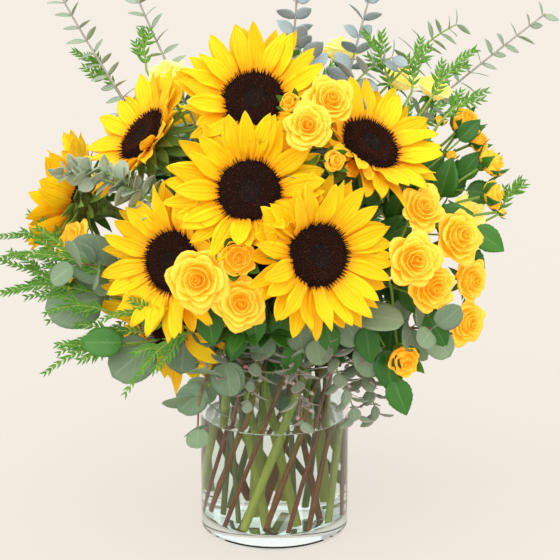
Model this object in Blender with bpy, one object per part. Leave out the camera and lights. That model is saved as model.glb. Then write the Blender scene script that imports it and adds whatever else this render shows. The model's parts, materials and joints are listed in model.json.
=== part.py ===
"""Sunflowers, spray roses and eucalyptus standing in a clear glass cylinder vase.

Metres, +Z up. The origin is the middle of the vase's underside, and the bouquet faces -Y.
Every stem stands in one of three nested rings of places in the vase. A ring's stems all lean
the same way round, as in a hand-tied spiral, so straight stems pass each other without touching.
"""
import math
from dataclasses import dataclass

import bmesh
import bpy
from mathutils import Matrix, Vector
from mathutils.bvhtree import BVHTree

MM = 0.001
UP = Vector((0, 0, 1))
CLEARANCE = 0.3 * MM            # left between pieces that touch

# Vase and water
VASE_RADIUS = 63.5 * MM
VASE_WALL = 4.0 * MM
VASE_FLOOR = 11.0 * MM
VASE_HEIGHT = 156.0 * MM
VASE_EDGE = 1.2 * MM            # rounding of the rim and the foot
VASE_SIDES = 48
WATER_LEVEL = 100.0 * MM
NECK_HEIGHT = 150.0 * MM        # up to here a stem is straight

# Sunflower head, along its own axis from the flat top of the receptacle
DISC_RADIUS = 25.0 * MM
DISC_SEAT_RADIUS = 16.6 * MM
DISC_DOME = 9.0 * MM
RECEPTACLE_RADIUS = 20.0 * MM
RAY_INNER_RADIUS = 17.0 * MM
RAY_COLLAR_RADIUS = 27.0 * MM
RAY_BASE = 2.5 * MM             # thickness of the ring of petals under the disc
RAY_TIP = 1.4 * MM              # thickness at the petal tips
RAY_NOTCH = 0.45                # depth of the outline between two petals, of the petal's length
RAY_PETALS = 14
RAY_STEP = 2.0 * MM
SUNFLOWER_STEM_RADIUS = 4.2 * MM
CALYX_DEPTH = 26.0 * MM

SPRAY_STEM_RADIUS = 2.4 * MM
BRANCH_RADIUS = 1.2 * MM
BRANCH_TIP = 4.0 * MM           # straight stretch behind a rose
SPRIG_STEM_RADIUS = 2.0 * MM
SPRIG_TIP_RADIUS = 1.0 * MM
LEAF_THICKNESS = 1.0 * MM

STEM_SIDES = 8
CURVE_STEPS = 9


@dataclass(frozen=True)
class Ring:
    """A ring of places for stems: its radius at the foot and the neck, and its turn between them."""

    foot_radius: float
    neck_radius: float
    turn: float


OUTER = Ring(52.0 * MM, 50.0 * MM, 58.0)
MIDDLE = Ring(33.0 * MM, 31.0 * MM, -50.0)
INNER = Ring(13.0 * MM, 12.0 * MM, 55.0)


@dataclass(frozen=True)
class Sunflower:
    """One head: its place in a ring, the middle of its receptacle, where it faces, its petals."""

    ring: Ring
    neck_angle: float
    centre: tuple
    facing: tuple
    reach: float = 61.0
    cup: float = 15.0
    lift: float = 0.0


@dataclass(frozen=True)
class Bloom:
    """One rose: its middle, where it faces, its radius, and whether it is a piece of its own.

    The join is the point along its spray's main stem that its branch leaves from.
    """

    centre: tuple
    facing: tuple
    radius: float
    separate: bool = False
    join: int = 7


@dataclass(frozen=True)
class Spray:
    """A branched rose stem. Its main stem ends in the first bloom."""

    ring: Ring
    neck_angle: float
    blooms: tuple
    lift: float = 0.0


@dataclass(frozen=True)
class Sprig:
    """A stem of foliage: the control point and the tip of its curve, and its leaves."""

    ring: Ring
    neck_angle: float
    control: tuple
    tip: tuple
    leaf_length: float
    leaf_width: float
    pairs: int
    bare: float = 0.35
    lift: float = 0.0
    sweep: float = 55.0
    last: float = 0.93


SUNFLOWERS = (
    Sunflower(MIDDLE, 250, (-18, -112, 312), (0.02, -0.94, 0.34)),
    Sunflower(INNER, 225, (-15, -62, 374), (0.0, -0.82, 0.57), cup=20),
    Sunflower(OUTER, 222, (-76, -98, 255), (-0.48, -0.86, 0.18), lift=6),
    Sunflower(OUTER, 300, (32, -130, 267), (0.45, -0.87, 0.19)),
    Sunflower(MIDDLE, 332, (74, -58, 338), (0.42, -0.58, 0.69), cup=20, lift=9),
    Sunflower(MIDDLE, 210, (-102, -32, 341), (-0.68, -0.37, 0.62), cup=22),
    Sunflower(OUTER, 141, (-160, 5, 283), (-0.93, 0.25, 0.25), reach=55, cup=38),
    Sunflower(OUTER, 185, (-88, -62, 200), (-0.55, -0.75, -0.25), reach=56, cup=-12, lift=8),
    Sunflower(OUTER, 22, (78, 88, 296), (0.50, 0.76, 0.40)),
    Sunflower(OUTER, 83, (-52, 100, 306), (-0.35, 0.84, 0.42), cup=20, lift=5),
)

SPRAYS = (
    Spray(MIDDLE, 290, (
        Bloom((25, -130, 364), (0.0, -0.95, 0.3), 14.5, True),
        Bloom((43, -105, 380), (0.25, -0.85, 0.45), 15, True),
        Bloom((12, -98, 378), (-0.3, -0.85, 0.45), 8, join=6),
        Bloom((46, -122, 337), (0.5, -0.85, 0.1), 9, join=5))),
    Spray(OUTER, 259, (
        Bloom((-24, -146, 234), (0.05, -0.98, 0.15), 17, True),
        Bloom((-56, -148, 252), (-0.1, -0.98, 0.2), 19, True),
        Bloom((-26, -145, 268), (0.1, -0.97, 0.2), 13, True)), lift=7),
    Spray(OUTER, 161, (
        Bloom((-165, -38, 259), (-0.75, -0.5, 0.45), 15),
        Bloom((-171, -34, 226), (-0.9, -0.35, 0.1), 12))),
    Spray(OUTER, 321, (
        Bloom((107, -116, 260), (0.2, -0.96, 0.2), 17, True),
        Bloom((124, -98, 234), (0.35, -0.92, 0.1), 16, True),
        Bloom((115, -90, 296), (0.3, -0.85, 0.45), 15, True),
        Bloom((156, -62, 197), (0.55, -0.8, 0.0), 15),
        Bloom((104, -82, 170), (0.2, -0.95, -0.2), 13)), lift=5),
    Spray(OUTER, 359, (
        Bloom((146, -78, 270), (0.5, -0.8, 0.3), 17, True),
        Bloom((158, -62, 231), (0.6, -0.8, 0.1), 14),
        Bloom((181, 0, 318), (0.85, -0.2, 0.5), 13, join=6),
        Bloom((182, -12, 292), (0.9, -0.3, 0.2), 12, join=5),
        Bloom((158, 18, 345), (0.6, -0.1, 0.8), 12, join=4))),
    Spray(MIDDLE, 50, (
        Bloom((56, 38, 408), (0.15, 0.1, 0.95), 15),
        Bloom((104, 22, 386), (0.5, -0.2, 0.85), 14),
        Bloom((14, 62, 398), (0.0, 0.5, 0.85), 13))),
    Spray(OUTER, 45, (
        Bloom((12, 140, 262), (0.1, 0.97, 0.2), 17),
        Bloom((18, 142, 222), (0.2, 0.97, 0.0), 15),
        Bloom((-24, 138, 238), (-0.2, 0.97, 0.1), 15),
        Bloom((64, 128, 222), (0.45, 0.88, 0.0), 14))),
)

SPRIGS = {
    "baby_eucalyptus_1": Sprig(MIDDLE, 170, (-112, 14, 330), (-176, 10, 458), 17, 7, 7, 0.62),
    "baby_eucalyptus_2": Sprig(MIDDLE, 130, (-70, 40, 340), (-116, 30, 457), 17, 7, 6, 0.66),
    "baby_eucalyptus_3": Sprig(INNER, 45, (10, 0, 340), (19, -18, 462), 20, 11, 6, 0.66),
    "baby_eucalyptus_4": Sprig(MIDDLE, 10, (42, 5, 330), (80, 0, 462), 20, 12, 7, 0.6),
    "baby_eucalyptus_5": Sprig(MIDDLE, 90, (90, 40, 330), (217, -8, 438), 16, 8, 9, 0.58),
    "silver_dollar_1": Sprig(OUTER, 201, (-100, -20, 235), (-155, -76, 248), 36, 34, 4, 0.5, last=0.78),
    "silver_dollar_2": Sprig(OUTER, 241, (-60, -98, 190), (-60, -98, 122), 24, 22, 4, 0.45, last=0.78),
    "silver_dollar_3": Sprig(OUTER, 340, (115, -40, 185), (124, -92, 200), 32, 30, 3, 0.5, last=0.78),
    "silver_dollar_4": Sprig(OUTER, 64, (0, 105, 200), (-14, 152, 196), 34, 32, 4, 0.5, last=0.78),
    "seeded_eucalyptus_1": Sprig(OUTER, 280, (14, -84, 196), (22, -92, 124), 20, 9, 6, 0.35),
    "fern_1": Sprig(OUTER, 121, (-120, 10, 190), (-222, -42, 244), 28, 4, 9, 0.45, sweep=35),
    "fern_2": Sprig(OUTER, 102, (-90, 90, 230), (-130, 120, 330), 28, 4, 7, 0.5, sweep=35),
}

FINISHES = {
    "vase_glass": ("#DDE8E4", 0.02, 0.0),
    "vase_water": ("#D9E6DF", 0.02, 0.0),
    "sunflower_petal": ("#FFD90A", 0.55, 0.0),
    "sunflower_disc": ("#22120B", 0.9, 0.0),
    "sunflower_stem": ("#7FA035", 0.6, 0.0),
    "rose_petal": ("#FFD24A", 0.6, 0.0),
    "rose_stem": ("#6B5A2A", 0.6, 0.0),
    "baby_eucalyptus": ("#A7B5B5", 0.7, 0.0),
    "silver_dollar": ("#9DB7A0", 0.7, 0.0),
    "fern": ("#62A838", 0.6, 0.0),
}


def vector(numbers):
    """A point given in millimetres, in metres."""
    return Vector(numbers) * MM


def linear(channel):
    """One sRGB channel, 0 to 1, as a linear value."""
    if channel <= 0.04045:
        return channel / 12.92
    return ((channel + 0.055) / 1.055) ** 2.4


def make_material(name):
    """The Principled material of one finish."""
    colour, roughness, metallic = FINISHES[name]
    material = bpy.data.materials.new(name)
    material.use_nodes = True
    shader = material.node_tree.nodes["Principled BSDF"]
    channels = [linear(int(colour[i:i + 2], 16) / 255) for i in (1, 3, 5)]
    shader.inputs["Base Color"].default_value = (*channels, 1)
    shader.inputs["Roughness"].default_value = roughness
    shader.inputs["Metallic"].default_value = metallic
    return material


class Taken:
    """The space that the pieces made so far take up, with one search tree for each owner."""

    def __init__(self):
        self.trees = {}

    def add(self, owner, mesh):
        """Add the surface of one mesh, given in world space, to what its owner takes up."""
        points = [vertex.co.copy() for vertex in mesh.vertices]
        faces = [list(face.vertices) for face in mesh.polygons]
        self.trees.setdefault(owner, []).append(BVHTree.FromPolygons(points, faces))

    def clear(self, point, distance, owner):
        """Whether nothing but the owner's own pieces comes within the distance of the point."""
        return not any(tree.find_nearest(point, distance)[0] for other, trees in self.trees.items()
                       if other != owner for tree in trees)


def place(bm, name, material, smooth_angle=50):
    """Turn a bmesh into a named object."""
    bmesh.ops.recalc_face_normals(bm, faces=bm.faces)
    mesh = bpy.data.meshes.new(name)
    bm.to_mesh(mesh)
    bm.free()
    mesh.shade_smooth()
    mesh.set_sharp_from_angle(angle=math.radians(smooth_angle))
    mesh.materials.append(material)
    piece = bpy.data.objects.new(name, mesh)
    bpy.context.collection.objects.link(piece)
    return piece


def helper(bm, name):
    """A shape that only cuts or joins another, and isn't a piece of the object."""
    mesh = bpy.data.meshes.new(name)
    bmesh.ops.recalc_face_normals(bm, faces=bm.faces)
    bm.to_mesh(mesh)
    bm.free()
    guide = bpy.data.objects.new(name, mesh)
    guide.hide_render = True
    guide.display_type = "WIRE"
    bpy.context.collection.objects.link(guide)
    return guide


def combine(piece, guide, operation):
    """Cut or join a piece with a guide."""
    modifier = piece.modifiers.new(operation.title(), "BOOLEAN")
    modifier.operation = operation
    modifier.object = guide
    modifier.use_self = operation == "UNION"


def loft(bm, rings, closed=False):
    """Skin rings of points, in order. An open loft gets a flat face at each end."""
    loops = [[bm.verts.new(point) for point in ring] for ring in rings]
    count = len(loops[0])
    pairs = list(zip(loops, loops[1:]))
    if closed:
        pairs.append((loops[-1], loops[0]))
    for near, far in pairs:
        for i in range(count):
            j = (i + 1) % count
            bm.faces.new((near[i], near[j], far[j], far[i]))
    if not closed:
        bm.faces.new(loops[0])
        bm.faces.new(loops[-1])


def circle(centre, across, along, radius, flatness, sides):
    """Points round an ellipse that lies across the direction of a tube."""
    other = along.cross(across)
    points = []
    for i in range(sides):
        angle = math.tau * i / sides
        points.append(centre + across * radius * math.cos(angle)
                      + other * radius * flatness * math.sin(angle))
    return points


def tube(bm, line, radii, sides=STEM_SIDES, across=None, flatnesses=None):
    """A closed tube along a line, round or flattened, with a radius at each point."""
    rings = []
    for i, point in enumerate(line):
        along = (line[min(i + 1, len(line) - 1)] - line[max(i - 1, 0)]).normalized()
        if across is None:
            across = along.orthogonal()
        across = (across - along * across.dot(along)).normalized()
        flatness = flatnesses[i] if flatnesses else 1
        rings.append(circle(point, across, along, radii[i], flatness, sides))
    loft(bm, rings)


def bezier(start, first, second, end, steps=CURVE_STEPS):
    """Points along a cubic curve, its ends included."""
    points = []
    for i in range(steps + 1):
        t = i / steps
        s = 1 - t
        points.append(start * s ** 3 + first * 3 * s * s * t + second * 3 * s * t * t + end * t ** 3)
    return points


def foot_and_neck(ring, neck_angle, radius, lift):
    """Where a stem ends near the vase's floor, and where its straight stretch stops."""
    neck_turn = math.radians(neck_angle)
    foot_turn = neck_turn - math.radians(ring.turn)
    foot = Vector((ring.foot_radius * math.cos(foot_turn), ring.foot_radius * math.sin(foot_turn), 0))
    neck = Vector((ring.neck_radius * math.cos(neck_turn), ring.neck_radius * math.sin(neck_turn),
                   NECK_HEIGHT))
    slope = (neck - foot).xy.length / NECK_HEIGHT
    foot.z = VASE_FLOOR + CLEARANCE + radius * slope + lift
    return foot, neck


def stem_line(item, radius, control, end):
    """The line of a stem: straight in the vase, then one curve to its end."""
    foot, neck = foot_and_neck(item.ring, item.neck_angle, radius, item.lift * MM)
    lean = (neck - foot).normalized()
    rise = 0.33 * (end - neck).length
    return [foot, *bezier(neck, neck + lean * rise, control, end)]


def build_vase(materials):
    """The cylinder vase: a turned profile with a thick floor and soft edges."""
    inner = VASE_RADIUS - VASE_WALL
    profile = (
        (0, 0), (VASE_RADIUS - VASE_EDGE, 0), (VASE_RADIUS, VASE_EDGE),
        (VASE_RADIUS, VASE_HEIGHT - VASE_EDGE), (VASE_RADIUS - VASE_EDGE, VASE_HEIGHT),
        (inner + VASE_EDGE, VASE_HEIGHT), (inner, VASE_HEIGHT - VASE_EDGE),
        (inner, VASE_FLOOR), (0, VASE_FLOOR))
    bm = bmesh.new()
    verts = [bm.verts.new((radius, 0, height)) for radius, height in profile]
    edges = [bm.edges.new(pair) for pair in zip(verts, verts[1:])]
    bmesh.ops.spin(bm, geom=verts + edges, axis=UP, cent=(0, 0, 0), angle=math.tau,
                   steps=VASE_SIDES, use_merge=True)
    bmesh.ops.remove_doubles(bm, verts=bm.verts, dist=0.01 * MM)
    place(bm, "vase", materials["vase_glass"], smooth_angle=40)


def build_water(materials, stems):
    """The water, which fills the vase to its level and closes round each stem."""
    reach = VASE_RADIUS - VASE_WALL - CLEARANCE
    bottom = VASE_FLOOR + CLEARANCE
    bm = bmesh.new()
    line = [Vector((0, 0, bottom)), Vector((0, 0, WATER_LEVEL))]
    tube(bm, line, [reach, reach], sides=VASE_SIDES, across=Vector((1, 0, 0)))
    water = place(bm, "water", materials["vase_water"], smooth_angle=40)
    holes = bmesh.new()
    for line, radius in stems:
        lean = (line[1] - line[0]).normalized()
        stands = line[0].z < bottom + radius
        start = line[0] - lean * (radius if stands else CLEARANCE)
        tube(holes, [start, line[1]], [radius + CLEARANCE] * 2, across=lean.orthogonal())
    combine(water, helper(holes, "stem_holes"), "DIFFERENCE")


def build_sunflower_stem(name, flower, materials, taken):
    """The stem, which widens into the green receptacle behind the head."""
    facing = Vector(flower.facing).normalized()
    top = vector(flower.centre)
    back = top - facing * CALYX_DEPTH
    foot, neck = foot_and_neck(flower.ring, flower.neck_angle, SUNFLOWER_STEM_RADIUS, 0)
    pull = 0.42 * (back - neck).length
    line = stem_line(flower, SUNFLOWER_STEM_RADIUS, back - facing * pull, back)
    radii = [SUNFLOWER_STEM_RADIUS] * len(line)
    swell = ((0.35, 0.3), (0.65, 0.7), (0.9, 1.05), (1.0, 1.0))
    for along, width in swell:
        line.append(back + facing * CALYX_DEPTH * along)
        radii.append(RECEPTACLE_RADIUS * width)
    bm = bmesh.new()
    tube(bm, line, radii)
    stem = place(bm, name + "_stem", materials["sunflower_stem"])
    taken.add(name, stem.data)
    return line


def head_frame(flower):
    """The middle of a head, the way it faces and two directions across it."""
    facing = Vector(flower.facing).normalized()
    across = facing.cross(UP).normalized()
    return vector(flower.centre), facing, across, facing.cross(across)


def build_disc(name, flower, materials, taken):
    """The seed disc, seated in the ring of petals, with a low dome."""
    centre, facing, across, _ = head_frame(flower)
    seat = RAY_BASE + 2 * CLEARANCE
    profile = ((CLEARANCE, DISC_SEAT_RADIUS), (seat, DISC_SEAT_RADIUS),
               (seat + 0.4 * MM, DISC_RADIUS), (0.7 * DISC_DOME, 0.96 * DISC_RADIUS),
               (DISC_DOME, 0.5 * DISC_RADIUS))
    bm = bmesh.new()
    line = [centre + facing * height for height, _ in profile]
    tube(bm, line, [radius for _, radius in profile], sides=14, across=across)
    disc = place(bm, name + "_disc", materials["sunflower_disc"])
    taken.add(name, disc.data)


def petal_reach(name, flower, direction, others, taken):
    """How far a petal goes before it meets a neighbouring head or another piece."""
    centre = vector(flower.centre)
    reach = flower.reach * MM
    for other in others:
        apart = vector(other.centre) - centre
        towards = direction.dot(apart.normalized())
        if towards > 0:
            reach = min(reach, (apart.length / 2 - RAY_TIP) / towards)
    limit = RAY_COLLAR_RADIUS
    while limit + RAY_STEP < reach:
        room = RAY_STEP + limit * math.pi / (2 * RAY_PETALS)
        if not taken.clear(centre + direction * (limit + RAY_STEP), room, name):
            break
        limit += RAY_STEP
    return limit


def build_petals(name, flower, materials, taken):
    """The ray petals as one scalloped ring, which rises towards its tips by the head's cup."""
    centre, facing, across, other = head_frame(flower)
    others = [neighbour for neighbour in SUNFLOWERS if neighbour is not flower]
    rise = math.tan(math.radians(flower.cup))
    rings = [[] for _ in range(6)]
    for i in range(2 * RAY_PETALS):
        angle = math.tau * i / (2 * RAY_PETALS)
        outward = across * math.cos(angle) + other * math.sin(angle)
        slope = (outward + facing * rise).normalized()
        reach = petal_reach(name, flower, slope, others, taken)
        if i % 2:
            reach -= RAY_NOTCH * (reach - RAY_COLLAR_RADIUS)
        reach = max(reach, RAY_COLLAR_RADIUS + MM)
        tip = (reach - RAY_COLLAR_RADIUS) * rise
        base = CLEARANCE + RAY_BASE
        profile = ((RAY_INNER_RADIUS, CLEARANCE), (RAY_COLLAR_RADIUS, CLEARANCE),
                   (reach, base + tip - RAY_TIP), (reach, base + tip),
                   (RAY_COLLAR_RADIUS, base), (RAY_INNER_RADIUS, base))
        for ring, (radius, height) in zip(rings, profile):
            ring.append(centre + outward * radius + facing * height)
    bm = bmesh.new()
    loft(bm, rings, closed=True)
    petals = place(bm, name + "_petals", materials["sunflower_petal"])
    taken.add(name, petals.data)


def bloom_profile(bloom):
    """Distances behind and ahead of a bloom's middle, and its radius at each."""
    steps = ((-0.8, 0.3), (-0.55, 0.75), (-0.05, 1.0), (0.4, 0.85), (0.6, 0.45))
    return [(ahead * bloom.radius * MM, wide * bloom.radius * MM) for ahead, wide in steps]


def branch_to(bloom, line, join):
    """The line and radii of a branch, and of its bloom where the two are one piece."""
    facing = Vector(bloom.facing).normalized()
    profile = bloom_profile(bloom)
    seat = vector(bloom.centre) + facing * (profile[0][0] - CLEARANCE)
    if join is None:
        points = line + [seat - facing * BRANCH_TIP, seat]
    else:
        start = line[join]
        onward = (line[join] - line[join - 1]).normalized()
        length = (seat - start).length
        points = bezier(start, start + onward * 0.35 * length, seat - facing * 0.45 * length,
                        seat - facing * BRANCH_TIP, steps=5) + [seat]
    radii = [BRANCH_RADIUS] * len(points)
    radii[-1] = 0.3 * bloom.radius * MM
    if not bloom.separate:
        for ahead, wide in profile[1:]:
            points.append(vector(bloom.centre) + facing * ahead)
            radii.append(wide)
    return points, radii


def build_spray(name, spray, materials, taken):
    """A branched rose stem, joined from its main stem and its branches."""
    first = spray.blooms[0]
    facing = Vector(first.facing).normalized()
    seat = vector(first.centre) + facing * (bloom_profile(first)[0][0] - CLEARANCE)
    _, neck = foot_and_neck(spray.ring, spray.neck_angle, SPRAY_STEM_RADIUS, 0)
    pull = 0.4 * (seat - neck).length
    line = stem_line(spray, SPRAY_STEM_RADIUS, seat - facing * pull, seat)
    points, radii = branch_to(first, line[:-1], None)
    for i in range(2, CURVE_STEPS + 1):
        taper = (i - 1) / CURVE_STEPS
        radii[i] = SPRAY_STEM_RADIUS + (BRANCH_RADIUS - SPRAY_STEM_RADIUS) * taper
    radii[0] = SPRAY_STEM_RADIUS
    radii[1] = SPRAY_STEM_RADIUS
    bm = bmesh.new()
    tube(bm, points, radii)
    stem = place(bm, name, materials["rose_stem"])
    branches = bmesh.new()
    for bloom in spray.blooms[1:]:
        tube(branches, *branch_to(bloom, line, bloom.join), sides=6)
    guide = helper(branches, name + "_branches")
    combine(stem, guide, "UNION")
    taken.add(name, stem.data)
    taken.add(name, guide.data)
    return line


def build_bloom(name, bloom, materials, taken):
    """A rose that is a piece of its own: a rounded cup that narrows to its seat."""
    facing = Vector(bloom.facing).normalized()
    profile = bloom_profile(bloom)
    bm = bmesh.new()
    line = [vector(bloom.centre) + facing * ahead for ahead, _ in profile]
    tube(bm, line, [wide for _, wide in profile], sides=10)
    rose = place(bm, name, materials["rose_petal"])
    taken.add(name, rose.data)


def leaf_points(root, tip, width):
    """The middle line of a leaf and its half width at each point."""
    return [root, root.lerp(tip, 0.5), tip], [0.9 * MM, width / 2, 0.9 * MM]


def add_leaf(bm, name, root, tip, width, facing, taken):
    """Add one flat leaf, unless another piece is in its way."""
    line, halves = leaf_points(root, tip, width)
    for share in (0.5, 0.75, 1.0):
        if not taken.clear(root.lerp(tip, share), 0.4 * width + 1.5 * MM, name):
            return
    along = (tip - root).normalized()
    flatnesses = [LEAF_THICKNESS / (2 * half) for half in halves]
    tube(bm, line, halves, sides=4, across=along.cross(facing), flatnesses=flatnesses)


def build_sprig_stem(name, sprig, finish, materials, taken):
    """The bare stem of a sprig."""
    line = stem_line(sprig, SPRIG_STEM_RADIUS, vector(sprig.control), vector(sprig.tip))
    radii = [SPRIG_STEM_RADIUS]
    for i in range(len(line) - 1):
        radii.append(SPRIG_STEM_RADIUS + (SPRIG_TIP_RADIUS - SPRIG_STEM_RADIUS) * i / CURVE_STEPS)
    bm = bmesh.new()
    tube(bm, line, radii, sides=6)
    stem = place(bm, name, materials[finish])
    taken.add(name, stem.data)
    return stem, line


def add_leaves(stem, sprig, line, taken):
    """Join pairs of leaves to a sprig, each pair a quarter turn from the last."""
    curve = line[1:]
    bm = bmesh.new()
    sweep = math.radians(sprig.sweep)
    for pair in range(sprig.pairs):
        share = sprig.bare + (sprig.last - sprig.bare) * pair / max(sprig.pairs - 1, 1)
        place_along = share * (len(curve) - 1)
        index = min(int(place_along), len(curve) - 2)
        root = curve[index].lerp(curve[index + 1], place_along - index)
        along = (curve[index + 1] - curve[index]).normalized()
        level = along.cross(Vector((0, 1, 0))).normalized()
        turned = Matrix.Rotation(math.radians(50) * (pair % 2), 3, along) @ level
        for side in (-1, 1):
            growth = along * math.cos(sweep) + turned * side * math.sin(sweep)
            facing = turned.cross(along)
            length = sprig.leaf_length * MM * (1 - 0.35 * share)
            add_leaf(bm, stem.name, root, root + growth * length, sprig.leaf_width * MM, facing, taken)
    guide = helper(bm, stem.name + "_leaves")
    combine(stem, guide, "UNION")
    taken.add(stem.name, guide.data)


def main():
    """Build every piece."""
    for old in list(bpy.data.objects):
        bpy.data.objects.remove(old, do_unlink=True)
    materials = {name: make_material(name) for name in FINISHES}
    taken = Taken()
    stems = []
    build_vase(materials)
    for order, flower in enumerate(SUNFLOWERS, 1):
        line = build_sunflower_stem(f"sunflower_{order}", flower, materials, taken)
        stems.append((line, SUNFLOWER_STEM_RADIUS))
    blooms = 0
    for order, spray in enumerate(SPRAYS, 1):
        stems.append((build_spray(f"rose_spray_{order}", spray, materials, taken), SPRAY_STEM_RADIUS))
        for bloom in spray.blooms:
            if bloom.separate:
                blooms += 1
                build_bloom(f"rose_bloom_{blooms}", bloom, materials, taken)
    sprigs = []
    for name, sprig in SPRIGS.items():
        finish = name.rsplit("_", 1)[0].replace("seeded_eucalyptus", "silver_dollar")
        stem, line = build_sprig_stem(name, sprig, finish, materials, taken)
        sprigs.append((stem, sprig, line))
        stems.append((line, SPRIG_STEM_RADIUS))
    for order, flower in enumerate(SUNFLOWERS, 1):
        build_disc(f"sunflower_{order}", flower, materials, taken)
    for order, flower in enumerate(SUNFLOWERS, 1):
        build_petals(f"sunflower_{order}", flower, materials, taken)
    for stem, sprig, line in sprigs:
        add_leaves(stem, sprig, line, taken)
    build_water(materials, stems)


main()
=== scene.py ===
"""The looks of a bouquet of sunflowers, spray roses and foliage in a clear glass cylinder vase.

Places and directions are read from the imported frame: each flower stands where its CAD solid
stands. Lengths are in metres, +Z is up and the bouquet's front faces -Y.
"""
import json
import logging
import math
import random
from dataclasses import dataclass
from enum import Enum
from functools import partial
from typing import Any, Callable, Optional, Sequence

import bmesh
import bpy
from mathutils import Matrix, Vector
from mathutils.bvhtree import BVHTree

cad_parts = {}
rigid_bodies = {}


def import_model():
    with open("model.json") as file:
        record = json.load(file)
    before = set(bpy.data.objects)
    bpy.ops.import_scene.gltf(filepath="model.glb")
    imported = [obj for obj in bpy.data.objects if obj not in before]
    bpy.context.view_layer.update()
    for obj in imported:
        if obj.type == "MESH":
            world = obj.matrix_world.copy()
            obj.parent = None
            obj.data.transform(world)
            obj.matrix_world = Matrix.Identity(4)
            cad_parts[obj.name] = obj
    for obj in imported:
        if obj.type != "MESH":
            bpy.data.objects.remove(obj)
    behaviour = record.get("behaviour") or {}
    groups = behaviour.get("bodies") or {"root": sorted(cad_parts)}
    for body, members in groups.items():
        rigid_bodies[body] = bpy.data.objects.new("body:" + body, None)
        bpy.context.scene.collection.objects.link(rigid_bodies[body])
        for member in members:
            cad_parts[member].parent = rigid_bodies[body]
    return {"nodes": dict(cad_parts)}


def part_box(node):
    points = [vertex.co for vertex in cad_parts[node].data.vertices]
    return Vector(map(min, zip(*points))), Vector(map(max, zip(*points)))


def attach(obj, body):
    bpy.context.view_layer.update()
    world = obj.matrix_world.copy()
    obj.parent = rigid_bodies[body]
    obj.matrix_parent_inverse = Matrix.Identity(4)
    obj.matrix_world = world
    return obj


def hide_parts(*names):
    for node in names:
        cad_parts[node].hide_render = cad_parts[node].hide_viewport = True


MM = 0.001
LEAF_GAUGE = 0.35 * MM
PETAL_GAUGE = 0.3 * MM
GOLDEN_ANGLE = math.radians(137.508)
UP = Vector((0.0, 0.0, 1.0))
ROOT = "root"
TWIG_SIDES = 6  # a foliage stem of the frame is six-sided
TWIG_END = 2.6 * MM  # a twig's cut end has a smaller radius than this, a bloom's cap a larger one
Shape = Callable[[float, float], Vector]
log = logging.getLogger("bouquet")


# ---------------------------------------------------------------- colour and shader nodes

def hex_colour(code: str) -> tuple[float, float, float, float]:
    """Turn an sRGB hex code into a linear colour.

    Args:
        code: six hex digits after a hash sign.

    Returns:
        Red, green, blue and alpha as linear values.
    """
    linear = []
    for start in (1, 3, 5):
        channel = int(code[start:start + 2], 16) / 255
        linear.append(channel / 12.92 if channel <= 0.04045 else ((channel + 0.055) / 1.055) ** 2.4)
    return (*linear, 1.0)


def add_node(tree: bpy.types.NodeTree, kind: str, settings: Optional[dict[Any, Any]] = None,
             links: Optional[dict[Any, Any]] = None) -> bpy.types.Node:
    """Add one shader node.

    Args:
        tree: the node tree that it goes in.
        kind: the node's type name, without its first words.
        settings: values for its properties or input sockets; "stops" fills a colour ramp.
        links: output sockets of other nodes, by the input that each one feeds.

    Returns:
        The new node.
    """
    made = tree.nodes.new("ShaderNode" + kind)
    for key, value in (settings or {}).items():
        if key == "stops":
            ramp = made.color_ramp
            while len(ramp.elements) < len(value):
                ramp.elements.new(0.5)
            for element, (position, code) in zip(ramp.elements, value):
                element.position = position
                element.color = hex_colour(code)
        elif isinstance(key, str) and hasattr(made, key):
            setattr(made, key, value)
        else:
            made.inputs[key].default_value = value
    for key, source in (links or {}).items():
        tree.links.new(source, made.inputs[key])
    return made


class Finish:
    """A material that is built once and then shared by the pieces that have it."""

    _built: dict[str, bpy.types.Material] = {}
    name: str

    def material(self) -> bpy.types.Material:
        """Build the material the first time, and share it after that.

        Returns:
            The finish's material.
        """
        if self.name not in Finish._built:
            made = bpy.data.materials.new(self.name)
            made.use_nodes = True
            made.node_tree.nodes.clear()
            surface = self.surface(made.node_tree)
            add_node(made.node_tree, "OutputMaterial", links={"Surface": surface})
            Finish._built[self.name] = made
        return Finish._built[self.name]

    def surface(self, tree: bpy.types.NodeTree) -> bpy.types.NodeSocket:
        """Build the shader and return its output."""
        raise NotImplementedError


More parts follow.
